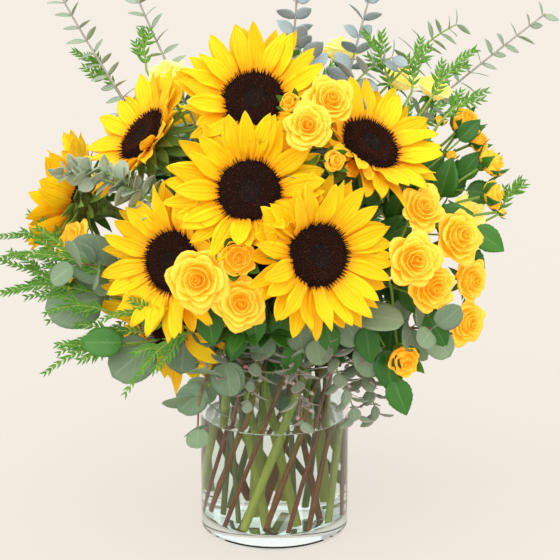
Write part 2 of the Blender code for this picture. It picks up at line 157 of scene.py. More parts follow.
@dataclass(frozen=True)
class PetalTissue(Finish):
    """Fresh petal: thin wet tissue that glows when lit from behind, with fine lengthwise veins.

    The foot's colour ends at the blush, a share of the length; inner is the colour of a painted glow, an
    emission that lifts the petals' shaded creases.
    """

    name: str
    base: str
    middle: str
    tip: str
    deep: str
    veins: int
    vein_depth: float
    glow: float
    roughness: float = 0.5
    blush: float = 0.38
    inner: str = "#000000"
    painted_glow_strength: float = 0.0

    def surface(self, tree: bpy.types.NodeTree) -> bpy.types.NodeSocket:
        """Colour runs along the petal, darkens with the piece's tone, and veins raise it.

        Args:
            tree: the material's node tree.

        Returns:
            The shader's output socket.
        """
        node = partial(add_node, tree)
        uv = node("UVMap", {"uv_map": "leaf"}).outputs["UV"]
        parts = node("SeparateXYZ", links={0: uv}).outputs
        tone = node("Attribute", {"attribute_name": "tone"}).outputs["Fac"]
        along = node("ValToRGB",
                     {"stops": ((0.0, self.base), (self.blush, self.middle), (0.95, self.tip))},
                     {"Fac": parts["Y"]}).outputs["Color"]
        deeper = node("Mix", {"data_type": "RGBA", 7: hex_colour(self.deep)},
                      {0: tone, 6: along}).outputs[2]
        # veins run from base to tip, so they are bands across the width, bent a little by noise
        phase = node("Math", {"operation": "MULTIPLY", 1: math.tau * self.veins},
                     {0: parts["X"]}).outputs[0]
        waviness = node("TexNoise", {"Scale": 3.0, "Detail": 1.0}, {"Vector": uv}).outputs["Fac"]
        bent = node("Math", {"operation": "MULTIPLY_ADD", 1: 4.0}, {0: waviness, 2: phase}).outputs[0]
        veins = node("Math", {"operation": "SINE"}, {0: bent}).outputs[0]
        shade = node("Math", {"operation": "MULTIPLY_ADD", 1: 0.1, 2: 0.1}, {0: veins}).outputs[0]
        veined = node("Mix", {"data_type": "RGBA", 7: hex_colour(self.base)},
                      {0: shade, 6: deeper}).outputs[2]
        raised = node("Bump", {"Strength": 0.5, "Distance": self.vein_depth},
                      {"Height": veins}).outputs["Normal"]
        # painted glow: an emission stands in for light that has been through many stacked petals and comes
        # back a deeper colour in the creases
        skin = node("BsdfPrincipled",
                    {"Roughness": self.roughness, "Specular IOR Level": 0.2, "Sheen Weight": 0.05,
                     "Sheen Roughness": 0.6, "Emission Color": hex_colour(self.inner),
                     "Emission Strength": self.painted_glow_strength},
                    {"Base Color": veined, "Normal": raised}).outputs[0]
        through = node("BsdfTranslucent", links={"Color": veined}).outputs[0]
        return node("MixShader", {0: self.glow}, {1: skin, 2: through}).outputs[0]


@dataclass(frozen=True)
class LeafTissue(Finish):
    """Leaf blade: waxy or glossy skin with a midrib and side veins, mottled as leaves are."""

    name: str
    colour: str
    patch: str
    rib: str
    roughness: float
    gloss: float
    glow: float
    edge: str = ""
    side_veins: int = 7
    vein_depth: float = 0.15 * MM
    drawn: float = 0.6

    def surface(self, tree: bpy.types.NodeTree) -> bpy.types.NodeSocket:
        """Mottle the blade, draw its ribs from the leaf's own UV map and let some light through.

        Args:
            tree: the material's node tree.

        Returns:
            The shader's output socket.
        """
        node = partial(add_node, tree)
        uv = node("UVMap", {"uv_map": "leaf"}).outputs["UV"]
        parts = node("SeparateXYZ", links={0: uv}).outputs
        place = node("TexCoord").outputs["Object"]
        tone = node("Attribute", {"attribute_name": "tone"}).outputs["Fac"]
        # blotches about 12 mm across
        mottle = node("TexNoise", {"Scale": 80.0, "Detail": 3.0}, {"Vector": place}).outputs["Fac"]
        share = node("Math", {"operation": "MULTIPLY_ADD", 1: 0.55}, {0: mottle, 2: tone}).outputs[0]
        blade = node("Mix", {"data_type": "RGBA", 6: hex_colour(self.colour), 7: hex_colour(self.patch)},
                     {0: share}).outputs[2]
        off_middle = node("Math", {"operation": "SUBTRACT", 1: 0.5}, {0: parts["X"]}).outputs[0]
        distance = node("Math", {"operation": "ABSOLUTE"}, {0: off_middle}).outputs[0]
        midrib = node("MapRange", {"From Min": 0.0, "From Max": 0.05, "To Min": 1.0, "To Max": 0.0},
                      {"Value": distance}).outputs[0]
        slant = node("Math", {"operation": "MULTIPLY_ADD", 1: -0.9},
                     {0: distance, 2: parts["Y"]}).outputs[0]
        turns = node("Math", {"operation": "MULTIPLY", 1: math.tau * self.side_veins},
                     {0: slant}).outputs[0]
        wave = node("Math", {"operation": "COSINE"}, {0: turns}).outputs[0]
        side = node("MapRange", {"From Min": 0.86, "From Max": 1.0, "To Min": 0.0, "To Max": 0.45},
                    {"Value": wave}).outputs[0]
        ribs = node("Math", {"operation": "MAXIMUM"}, {0: midrib, 1: side}).outputs[0]
        drawn = node("Math", {"operation": "MULTIPLY", 1: self.drawn}, {0: ribs}).outputs[0]
        colour = node("Mix", {"data_type": "RGBA", 7: hex_colour(self.rib)},
                      {0: drawn, 6: blade}).outputs[2]
        if self.edge:
            rim = node("MapRange", {"From Min": 0.36, "From Max": 0.5, "To Min": 0.0, "To Max": 0.8},
                       {"Value": distance}).outputs[0]
            colour = node("Mix", {"data_type": "RGBA", 7: hex_colour(self.edge)},
                          {0: rim, 6: colour}).outputs[2]
        sunk = node("Bump", {"Strength": 0.6, "Distance": self.vein_depth},
                    {"Height": ribs}).outputs["Normal"]
        skin = node("BsdfPrincipled", {"Roughness": self.roughness, "Specular IOR Level": self.gloss},
                    {"Base Color": colour, "Normal": sunk}).outputs[0]
        through = node("BsdfTranslucent", links={"Color": colour}).outputs[0]
        return node("MixShader", {0: self.glow}, {1: skin, 2: through}).outputs[0]


@dataclass(frozen=True)
class StemBark(Finish):
    """Cut stem: fresh green or red-brown skin, streaked along its length, with small scars."""

    name: str
    colour: str
    streak: str
    blotch: str
    blotches: float
    foot: str = ""
    roughness: float = 0.5

    def surface(self, tree: bpy.types.NodeTree) -> bpy.types.NodeSocket:
        """Streak and blotch the skin along the stem, which runs upwards.

        Args:
            tree: the material's node tree.

        Returns:
            The shader's output socket.
        """
        node = partial(add_node, tree)
        place = node("TexCoord").outputs["Object"]
        # streaks about 1.5 mm wide and 28 mm long
        drawn = node("Mapping", {"Scale": (700.0, 700.0, 36.0)}, {"Vector": place}).outputs[0]
        noise = node("TexNoise", {"Scale": 1.0, "Detail": 2.0}, {"Vector": drawn}).outputs["Fac"]
        fibres = node("MapRange", {"From Min": 0.36, "From Max": 0.64}, {"Value": noise}).outputs[0]
        streaked = node("Mix", {"data_type": "RGBA", 6: hex_colour(self.colour),
                                7: hex_colour(self.streak)}, {0: fibres}).outputs[2]
        # scars and darker stretches, some 20 mm long
        wide = node("TexNoise", {"Scale": 38.0, "Detail": 3.0}, {"Vector": place}).outputs["Fac"]
        patches = node("MapRange", {"From Min": 0.62 - self.blotches, "From Max": 0.74 - self.blotches},
                       {"Value": wide}).outputs[0]
        tone = node("Attribute", {"attribute_name": "tone"}).outputs["Fac"]
        aged = node("Math", {"operation": "MAXIMUM"}, {0: patches, 1: tone}).outputs[0]
        colour = node("Mix", {"data_type": "RGBA", 7: hex_colour(self.blotch)},
                      {0: aged, 6: streaked}).outputs[2]
        if self.foot:
            height = node("SeparateXYZ", links={0: place}).outputs["Z"]
            # older wood from the vase's neck down
            low = node("MapRange", {"From Min": 170 * MM, "From Max": 60 * MM, "To Min": 0.0,
                                    "To Max": 0.9}, {"Value": height}).outputs[0]
            colour = node("Mix", {"data_type": "RGBA", 7: hex_colour(self.foot)},
                          {0: low, 6: colour}).outputs[2]
        ridges = node("Bump", {"Strength": 0.4, "Distance": 0.2 * MM},
                      {"Height": fibres}).outputs["Normal"]
        return node("BsdfPrincipled",
                    {"Roughness": self.roughness, "Specular IOR Level": 0.4,
                     "Subsurface Weight": 0.1, "Subsurface Radius": (0.002, 0.003, 0.001)},
                    {"Base Color": colour, "Normal": ridges}).outputs[0]


@dataclass(frozen=True)
class FloretVelvet(Finish):
    """Disc florets: dry, velvety and nearly black, red-brown where they have opened."""

    name: str
    eye: str
    dark: str
    open_floret: str
    dust: str

    def surface(self, tree: bpy.types.NodeTree) -> bpy.types.NodeSocket:
        """Colour each floret by how far out it stands, and dust some tips with pollen.

        Args:
            tree: the material's node tree.

        Returns:
            The shader's output socket.
        """
        node = partial(add_node, tree)
        tone = node("Attribute", {"attribute_name": "tone"}).outputs["Fac"]
        rings = node("ValToRGB",
                     {"stops": ((0.0, self.eye), (0.32, self.eye), (0.46, self.dark),
                                (0.72, self.open_floret), (0.86, self.dark), (1.0, self.dark))},
                     {"Fac": tone}).outputs["Color"]
        place = node("TexCoord").outputs["Object"]
        # single tips, so specks under 1 mm
        speck = node("TexNoise", {"Scale": 700.0, "Detail": 1.0}, {"Vector": place}).outputs["Fac"]
        dusted = node("MapRange", {"From Min": 0.6, "From Max": 0.78, "To Min": 0.0, "To Max": 0.35},
                      {"Value": speck}).outputs[0]
        colour = node("Mix", {"data_type": "RGBA", 7: hex_colour(self.dust)},
                      {0: dusted, 6: rings}).outputs[2]
        return node("BsdfPrincipled",
                    {"Roughness": 0.85, "Specular IOR Level": 0.12, "Sheen Weight": 0.08,
                     "Sheen Roughness": 0.5, "Sheen Tint": hex_colour("#7A4A38")},
                    {"Base Color": colour}).outputs[0]


@dataclass(frozen=True)
class ClearBody(Finish):
    """Glass or water: clear, smooth, and open to the lamps so that what it holds is lit."""

    name: str
    tint: str
    index: float
    shade: str
    mirror: str = "#9A9A9A"

    def surface(self, tree: bpy.types.NodeTree) -> bpy.types.NodeSocket:
        """Bend and mirror light as the real body does, but let shadow rays through.

        Args:
            tree: the material's node tree.

        Returns:
            The shader's output socket.
        """
        node = partial(add_node, tree)
        body = node("BsdfPrincipled",
                    {"Base Color": hex_colour(self.tint), "Roughness": 0.0, "IOR": self.index,
                     "Transmission Weight": 1.0, "Specular Tint": hex_colour(self.mirror)}).outputs[0]
        lets = node("BsdfTransparent", {"Color": hex_colour(self.shade)}).outputs[0]
        shadow = node("LightPath").outputs["Is Shadow Ray"]
        return node("MixShader", links={0: shadow, 1: body, 2: lets}).outputs[0]


@dataclass(frozen=True)
class StudioPaper(Finish):
    """Backlit background paper: matt, pale cream, and glowing, so that shadows on it stay faint."""

    name: str
    colour: str
    light: str

    def surface(self, tree: bpy.types.NodeTree) -> bpy.types.NodeSocket:
        """Make a plain matt shader with its own light.

        Args:
            tree: the material's node tree.

        Returns:
            The shader's output socket.
        """
        node = partial(add_node, tree)
        return node("BsdfPrincipled",
                    {"Base Color": hex_colour(self.colour), "Roughness": 0.95,
                     "Specular IOR Level": 0.0, "Emission Color": hex_colour(self.light),
                     "Emission Strength": 1.0}).outputs[0]


# sunflower ray: thin moist petal, matt warm yellow with an orange foot, ribbed lengthwise, with a faint
# painted orange glow in its shaded creases
RAY_PETAL = PetalTissue("sunflower_ray_petal", "#FF9000", "#FFE600", "#FFF018", "#FFC400", veins=5,
                        vein_depth=0.25 * MM, glow=0.3, blush=0.38, inner="#FF9E00", painted_glow_strength=0.06)
# spray-rose petal: thicker, velvety, and golden between the whorls, where a painted glow stands in for
# caught light
ROSE_PETAL = PetalTissue("golden_rose_petal", "#FFD226", "#FFE43A", "#FFEC6A", "#FFC830", veins=9,
                         vein_depth=0.05 * MM, glow=0.42, roughness=0.55, inner="#FFBC20", painted_glow_strength=0.28)
# rose petal with little pigment: butter yellow, the lightest spots among the greens, with a painted glow
# between the petals
PALE_ROSE_PETAL = PetalTissue("butter_rose_petal", "#FAEE86", "#FCF39A", "#FFFAC0", "#F4DC60", veins=9,
                              vein_depth=0.05 * MM, glow=0.25, roughness=0.55, inner="#FFF08A",
                              painted_glow_strength=0.26)
# dry florets in spirals: dark velvet that hardly shines, red-brown where they are open
DISC_FLORET = FloretVelvet("sunflower_disc_floret", "#1C231F", "#1F0F0A", "#552818", "#8A5430")
# hairy sunflower bract: matt fresh green with a pale midrib
BRACT = LeafTissue("sunflower_bract", "#6E9A32", "#8CB04A", "#A8C468", 0.6, 0.3, 0.15, side_veins=0)
# fleshy stem with pale fibres: satin green, yellower where it stands in water
SUNFLOWER_STEM = StemBark("sunflower_stem_skin", "#4E7A1C", "#A2BE56", "#4C4A18", 0.10, "#A0A446")
# rose cane: green skin ripening to red-brown wood, with dark scars
ROSE_STEM = StemBark("rose_stem_skin", "#6C8A2C", "#86602C", "#4E2412", 0.10, "#7C4722")
# this year's side shoots: smooth light green
BRANCH_STEM = StemBark("rose_branch_skin", "#7FA03C", "#8FB04A", "#8A6A34", 0.0)
# eucalyptus twig: thin red-brown bark, redder and darker with age
EUCALYPTUS_STEM = StemBark("eucalyptus_stem_skin", "#7A4E38", "#A08462", "#4E241A", 0.1, "#7A3A22")
# young eucalyptus tip: grey under a bloom of wax, green-brown in the water
YOUNG_STEM = StemBark("young_eucalyptus_stem_skin", "#A39C94", "#B4B0A6", "#93857E", 0.0, "#66702A")
# fern rachis: smooth grassy green, browner low down
FERN_STEM = StemBark("fern_stem_skin", "#6FA03A", "#86B44C", "#5A7A30", 0.0, "#6E5826")
# full-grown blue-gum leaf: wax bloom makes it blue-grey and quite matt
BABY_BLUE = LeafTissue("baby_blue_eucalyptus_leaf", "#A9BABF", "#8FA3A9", "#C4CFCD", 0.62, 0.35, 0.12,
                       side_veins=0)
# its small new leaves: the same wax over a greener blade
YOUNG_BLUE = LeafTissue("young_eucalyptus_leaf", "#A9B8A6", "#8AA27C", "#C4D0BC", 0.6, 0.35, 0.2,
                        side_veins=0)
# silver-dollar leaf: grey-green, leathery, with faint veins and a soft sheen
SILVER_DOLLAR = LeafTissue("silver_dollar_leaf", "#98AE86", "#6F8A6C", "#B9C8A6", 0.6, 0.3, 0.2,
                           side_veins=5, vein_depth=0.06 * MM, drawn=0.3)
# cider-gum leaf: the palest green, almost white where the wax is thick
CIDER_GUM = LeafTissue("cider_gum_leaf", "#B4C0A2", "#8A9C78", "#D2DCC4", 0.6, 0.3, 0.2, side_veins=0)
# seeded-eucalyptus leaf: silvery green with a thin pink edge
SEEDED_LEAF = LeafTissue("seeded_eucalyptus_leaf", "#A9BC9C", "#93A78E", "#CBD6BC", 0.6, 0.3, 0.25,
                         edge="#C9A0A0", side_veins=4)
# fern leaflet: thin, bright yellow-green, lit through from behind
FERN_LEAF = LeafTissue("fern_leaflet", "#78B83C", "#4F9A2C", "#90C45C", 0.5, 0.35, 0.3, side_veins=0)
# eucalyptus seed pod: dusty pink and green, matt as a dried berry
POD = StemBark("eucalyptus_seed_pod", "#B89A98", "#8FA088", "#A86A66", 0.1)
# rose leaf: deep green cuticle with a gloss, the darkest of the greens
ROSE_LEAF = LeafTissue("rose_leaf", "#4C8E2C", "#2A661E", "#86B058", 0.42, 0.4, 0.2, side_veins=8,
                       drawn=0.35)
# pressed soda-lime glass, fire-polished: clear, with bright rims and a faint green cast
VASE_GLASS = ClearBody("pressed_soda_glass", "#F4FAF8", 1.5, "#EEF4F1")
# still tap water: clear, bends and doubles the stems at its surface
VASE_WATER = ClearBody("still_water", "#FAFCF8", 1.333, "#F6FAF6")
# seamless paper lit from behind: an even cream ground with hardly a shadow
PAPER = StudioPaper("cream_background_paper", "#6D6964", "#D5CFC6")


# ---------------------------------------------------------------- modelling

def new_shape() -> bmesh.types.BMesh:
    """Start a shape with the UV map and the tone that every finish reads.

    Returns:
        The empty shape.
    """
    bm = bmesh.new()
    bm.loops.layers.uv.new("leaf")
    bm.verts.layers.float.new("tone")
    return bm


def sheet(bm: bmesh.types.BMesh, columns: int, rows: int, shape: Shape, tone: float = 0.0) -> list:
    """Add a sheet, bent from a flat grid.

    Args:
        bm: the shape that it is added to.
        columns: faces across.
        rows: faces along.
        shape: gives the place of a point from u, -1 to 1 across, and v, 0 to 1 along.
        tone: the value that its finish reads as "tone".

    Returns:
        The sheet's vertices.
    """
    layer = bm.verts.layers.float["tone"]
    made = bmesh.ops.create_grid(bm, x_segments=columns, y_segments=rows, size=1.0, calc_uvs=True)
    for vert in made["verts"]:
        vert[layer] = tone
        vert.co = shape(vert.co.x, (vert.co.y + 1.0) / 2.0)
    return made["verts"]


def line_frames(line: Sequence[Vector]) -> list[tuple[Vector, Vector, Vector]]:
    """Carry a pair of directions along a line without twisting them.

    Args:
        line: the line's points.

    Returns:
        For each point, its place and two directions across the line.
    """
    frames = []
    across: Optional[Vector] = None
    last = len(line) - 1
    for index, point in enumerate(line):
        along = (line[min(index + 1, last)] - line[max(index - 1, 0)]).normalized()
        if across is None:
            across = along.orthogonal()
        across = (across - along * across.dot(along)).normalized()
        frames.append((point, across, along.cross(across)))
    return frames


def tube(bm: bmesh.types.BMesh, line: Sequence[Vector], radii: Sequence[float], sides: int = 12,
         tone: float = 0.0) -> None:
    """Add a closed round tube.

    Args:
        bm: the shape that it is added to.
        line: the points of its middle line.
        radii: its radius at each point.
        sides: faces round it.
        tone: the value that its finish reads as "tone".
    """
    frames = line_frames(line)
    last = len(line) - 1

    def skin(u: float, v: float) -> Vector:
        """Place a point of the tube's skin.

        Args:
            u: -1 to 1 round the tube.
            v: 0 to 1 along it.

        Returns:
            The point.
        """
        index = round(v * last)
        point, across, other = frames[index]
        angle = math.pi * u
        return point + (across * math.cos(angle) + other * math.sin(angle)) * radii[index]

    verts = sheet(bm, sides, last, skin, tone)
    # a dictionary keeps its order, so every run makes the same faces
    edges = dict.fromkeys(edge for vert in verts for edge in vert.link_edges)
    seam = [vert for vert in verts if vert.is_boundary]
    bmesh.ops.remove_doubles(bm, verts=seam, dist=0.001 * MM)
    ends = [edge for edge in edges if edge.is_valid and edge.is_boundary]
    bmesh.ops.holes_fill(bm, edges=ends, sides=sides)


def finish_piece(bm: bmesh.types.BMesh, name: str, finish: Finish,
                 replaced: Sequence[str] = (), thickness: float = 0.0,
                 smooth: float = 60.0) -> bpy.types.Object:
    """Turn a shape into a named piece that rides on the vase.

    Args:
        bm: the shape, which is freed.
        name: the piece's name.
        finish: its material.
        replaced: CAD nodes that the piece stands for.
        thickness: what a sheet is thickened to; 0 leaves the shape as it is.
        smooth: the angle in degrees up to which edges are shaded smooth.

    Returns:
        The piece.
    """
    mesh = bpy.data.meshes.new(name)
    bm.to_mesh(mesh)
    bm.free()
    mesh.shade_smooth()
    mesh.set_sharp_from_angle(angle=math.radians(smooth))
    mesh.materials.append(finish.material())
    piece = bpy.data.objects.new(name, mesh)
    bpy.context.scene.collection.objects.link(piece)
    if thickness:
        shell = piece.modifiers.new("thickness", "SOLIDIFY")
        shell.thickness = thickness
        shell.offset = 0.0
    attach(piece, ROOT)
    if replaced:
        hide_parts(*replaced)
    log.info("%s: %d faces", name, len(mesh.polygons))
    return piece


def bezier_point(handles: Sequence[Vector], t: float) -> Vector:
    """Find a point of a cubic curve.

    Args:
        handles: the curve's four handles.
        t: 0 at its start and 1 at its end.

    Returns:
        The point.
    """
    s = 1.0 - t
    return (handles[0] * s ** 3 + handles[1] * 3 * s * s * t + handles[2] * 3 * s * t * t
            + handles[3] * t ** 3)


def stalk_curve(start: Vector, end: Vector, way: Vector, pull: float, steps: int) -> list[Vector]:
    """Bend a stalk that leaves its start upwards and reaches its end along a given way.

    Args:
        start: where it begins.
        end: where it ends.
        way: the way it runs at its end.
        pull: how far each handle stands off, as a share of the gap.
        steps: the number of stretches.

    Returns:
        Its points, both ends included.
    """
    gap = (end - start).length
    handles = (start, start + UP * pull * gap, end - way * pull * gap, end)
    return [bezier_point(handles, i / steps) for i in range(steps + 1)]


def radial(angle: float) -> Vector:
    """Return the level direction at an angle."""
    return Vector((math.cos(angle), math.sin(angle), 0.0))


def scatter(rng: random.Random, spread: float) -> Vector:
    """Draw a small random offset, up to the spread each way."""
    return Vector([rng.uniform(-spread, spread) for _ in range(3)])


def sloped(out: Vector, slope: float) -> tuple[Vector, Vector]:
    """Return a direction tilted up from level by a slope, and the way its upper side faces."""
    return out * math.cos(slope) + UP * math.sin(slope), UP * math.cos(slope) - out * math.sin(slope)


def scaled(profile: Sequence[tuple[float, float]], size: float) -> list[tuple[float, float]]:
    """Return a turned profile at another size."""
    return [(radius * size, height * size) for radius, height in profile]


def frame_matrix(origin: Vector, facing: Vector, spin: float = 0.0) -> Matrix:
    """Build a frame whose Z faces a given way.

    Args:
        origin: the frame's origin.
        facing: where its Z points.
        spin: a turn about Z, in radians.

    Returns:
        The matrix from the frame to the world.
    """
    z = facing.normalized()
    x = (UP.cross(z) if abs(z.z) < 0.98 else Vector((1.0, 0.0, 0.0))).normalized()
    y = z.cross(x).normalized()
    x = y.cross(z)
    turn = Matrix((x, y, z)).transposed().to_4x4()
    return Matrix.Translation(origin) @ turn @ Matrix.Rotation(spin, 4, "Z")


# ---------------------------------------------------------------- reading the frame

@dataclass(frozen=True)
class FlatEnd:
    """A round flat face that closes one end of a CAD solid."""

    centre: Vector
    normal: Vector
    radius: float
    sides: int


class CadSolid:
    """Reads places and directions from one CAD node."""

    EVEN = 0.03
    FLAT = math.radians(0.3)

    def __init__(self, name: str) -> None:
        """Merge a copy of the node's loose triangles.

        Args:
            name: the CAD node's name.
        """
        self.name = name
        self.bm = bmesh.new()
        self.bm.from_mesh(frame["nodes"][name].data)
        bmesh.ops.remove_doubles(self.bm, verts=self.bm.verts, dist=0.01 * MM)
        self.bm.verts.index_update()
        self.bm.normal_update()

    def flat_ends(self) -> list[FlatEnd]:
        """Find the round flat faces.

        Returns:
            The faces, the widest first.
        """
        flat = self.bm.copy()
        bmesh.ops.dissolve_limit(flat, angle_limit=self.FLAT, verts=flat.verts, edges=flat.edges)
        flat.normal_update()
        ends = []
        for face in flat.faces:
            centre = sum((vert.co for vert in face.verts), Vector()) / len(face.verts)
            spread = [(vert.co - centre).length for vert in face.verts]
            if len(spread) >= 6 and max(spread) - min(spread) < self.EVEN * max(spread):
                ends.append(FlatEnd(centre, face.normal.copy(), max(spread), len(spread)))
        flat.free()
        return sorted(ends, key=lambda end: -end.radius)

    def rings(self, end: FlatEnd, count: int) -> list[Vector]:
        """Walk from a flat end, ring by ring, and return each ring's middle.

        Args:
            end: the flat end to start from.
            count: how many rings to return, the end's own included.

        Returns:
            The middles of the rings.
        """
        ring = {vert for vert in self.bm.verts if (vert.co - end.centre).length < 1.05 * end.radius}
        seen = set(ring)
        middles = []
        for _ in range(count):
            in_order = sorted(ring, key=lambda vert: vert.index)
            middles.append(sum((vert.co for vert in in_order), Vector()) / len(ring))
            ring = {edge.other_vert(vert) for vert in ring for edge in vert.link_edges} - seen
            seen |= ring
        return middles


class StemRoute:
    """The middle line of a stem: straight from its foot to the vase's neck, then one curve."""

    CURVE_RINGS = 9
    LEAN_SHARE = 0.33

    def __init__(self, solid: CadSolid, foot: FlatEnd, end: Vector) -> None:
        """Work the curve's handles out from the solid's first rings.

        Args:
            solid: the stem's CAD solid.
            foot: its lowest flat end.
            end: where the curve ends.
        """
        self.radius = foot.radius
        middles = solid.rings(foot, 4)
        self.foot = middles[0]
        neck = middles[1]
        lean = (neck - self.foot).normalized()
        first = neck + lean * self.LEAN_SHARE * (end - neck).length
        t = 2 / self.CURVE_RINGS
        s = 1 - t
        second = (middles[3] - neck * s ** 3 - first * 3 * s * s * t - end * t ** 3) / (3 * s * t * t)
        self.handles = (neck, first, second, end)

    def point(self, t: float) -> Vector:
        """Return the point at t, 0 at the neck and 1 at the end."""
        return bezier_point(self.handles, t)

    def direction(self, t: float) -> Vector:
        """Return the way the curve runs at t."""
        step = 0.02
        return (self.point(min(t + step, 1.0)) - self.point(max(t - step, 0.0))).normalized()

    def length(self) -> float:
        """Return the length of the curved stretch."""
        points = [self.point(i / 20) for i in range(21)]
        return sum((b - a).length for a, b in zip(points, points[1:]))

    def points(self, steps: int) -> list[Vector]:
        """Return the whole line, with the straight stretch in ten parts."""
        straight = [self.foot.lerp(self.handles[0], i / 10) for i in range(10)]
        return straight + [self.point(i / steps) for i in range(steps + 1)]


class Outline(Enum):
    """The outline of a leaf or petal, as its half width along its length."""

    ROUND = "round"
    OVAL = "oval"
    LANCE = "lance"
    TOOTHED = "toothed"
    BRACT = "bract"

    def half_width(self, v: float) -> float:
        """Find how wide the outline is at one place.

        Args:
            v: 0 at the base and 1 at the tip.

        Returns:
            The half width there, as a share of the greatest.
        """
        if self is Outline.ROUND:
            return math.sqrt(max(0.0, 1 - (2 * v - 1) ** 2)) * (1 - 0.15 * v)
        if self is Outline.OVAL:
            return math.sin(math.pi * v ** 0.85) ** 0.75
        if self is Outline.LANCE:
            return math.sin(math.pi * v ** 0.7) ** 1.1
        if self is Outline.TOOTHED:
            tooth = 1.0 + 0.10 * (1.0 - (v * 11.0) % 1.0)
            return math.sin(math.pi * v ** 0.72) ** 0.85 * tooth
        return (1 - v ** 1.6) * (0.75 + 0.25 * math.sin(math.pi * v))


@dataclass(frozen=True)
class Blade:
    """One leaf: its outline, size, fold along the midrib, and how it arches."""

    outline: Outline
    length: float
    width: float
    fold: float = 0.15
    arch: float = 0.3
    columns: int = 4
    rows: int = 6
    stalk: float = 0.0

    def add(self, bm: bmesh.types.BMesh, root: Vector, growth: Vector, face: Vector,
            tone: float = 0.0, scale: float = 1.0) -> None:
        """Add the leaf to a shape.

        Args:
            bm: the shape.
            root: where the leaf or its stalk grows from.
            growth: the way it grows.
            face: the way its upper side faces.
            tone: the value that its finish reads as "tone".
            scale: its size, as a share of the blade's own.
        """
        along = growth.normalized()
        across = along.cross(face).normalized()
        normal = across.cross(along)
        size = self.length * scale
        half = self.width * scale / 2
        start = root + along * self.stalk * scale
        if self.stalk:
            tube(bm, [root, root + along * self.stalk * scale * 1.15], [0.5 * MM, 0.4 * MM], 4, tone)

        def skin(u: float, v: float) -> Vector:
            """Place a point of the blade.

            Args:
                u: -1 to 1 across the blade.
                v: 0 to 1 from its base to its tip.

            Returns:
                The point.
            """
            bend = self.arch * v
            middle = start + along * size * math.sin(bend) / self.arch \
                + normal * size * (math.cos(bend) - 1) / self.arch
            edge = max(self.outline.half_width(v), 0.03) * half
            lifted = normal * math.cos(bend) + along * math.sin(bend)
            return middle + across * u * edge + lifted * abs(u) * edge * self.fold

        sheet(bm, self.columns, self.rows, skin, tone)


def turned(bm: bmesh.types.BMesh, profile: Sequence[tuple[float, float]], place: Matrix,
           steps: int = 24, tone: float = 0.0) -> None:
    """Add a closed turned solid.

    Args:
        bm: the shape that it is added to.
        profile: radius and height of each point, from pole to pole.
        place: the matrix from its own frame, with its axis along Z.
        steps: faces round it.
        tone: the value that its finish reads as "tone".
    """
    layer = bm.verts.layers.float["tone"]
    points = [bm.verts.new((radius, 0.0, height)) for radius, height in profile]
    for point in points:
        point[layer] = tone
    line = points + [bm.edges.new(pair) for pair in zip(points, points[1:])]
    before = set(bm.verts) - set(points)
    bmesh.ops.spin(bm, geom=line, axis=(0, 0, 1), cent=(0, 0, 0), dvec=(0, 0, 0), angle=math.tau,
                   steps=steps, use_merge=True)
    made = [vert for vert in bm.verts if vert not in before]
    bmesh.ops.remove_doubles(bm, verts=made, dist=0.001 * MM)
    made = [vert for vert in made if vert.is_valid]
    faces = dict.fromkeys(face for vert in made for face in vert.link_faces)
    bmesh.ops.recalc_face_normals(bm, faces=list(faces))
    bmesh.ops.transform(bm, matrix=place, verts=made)


# ---------------------------------------------------------------- vase and water

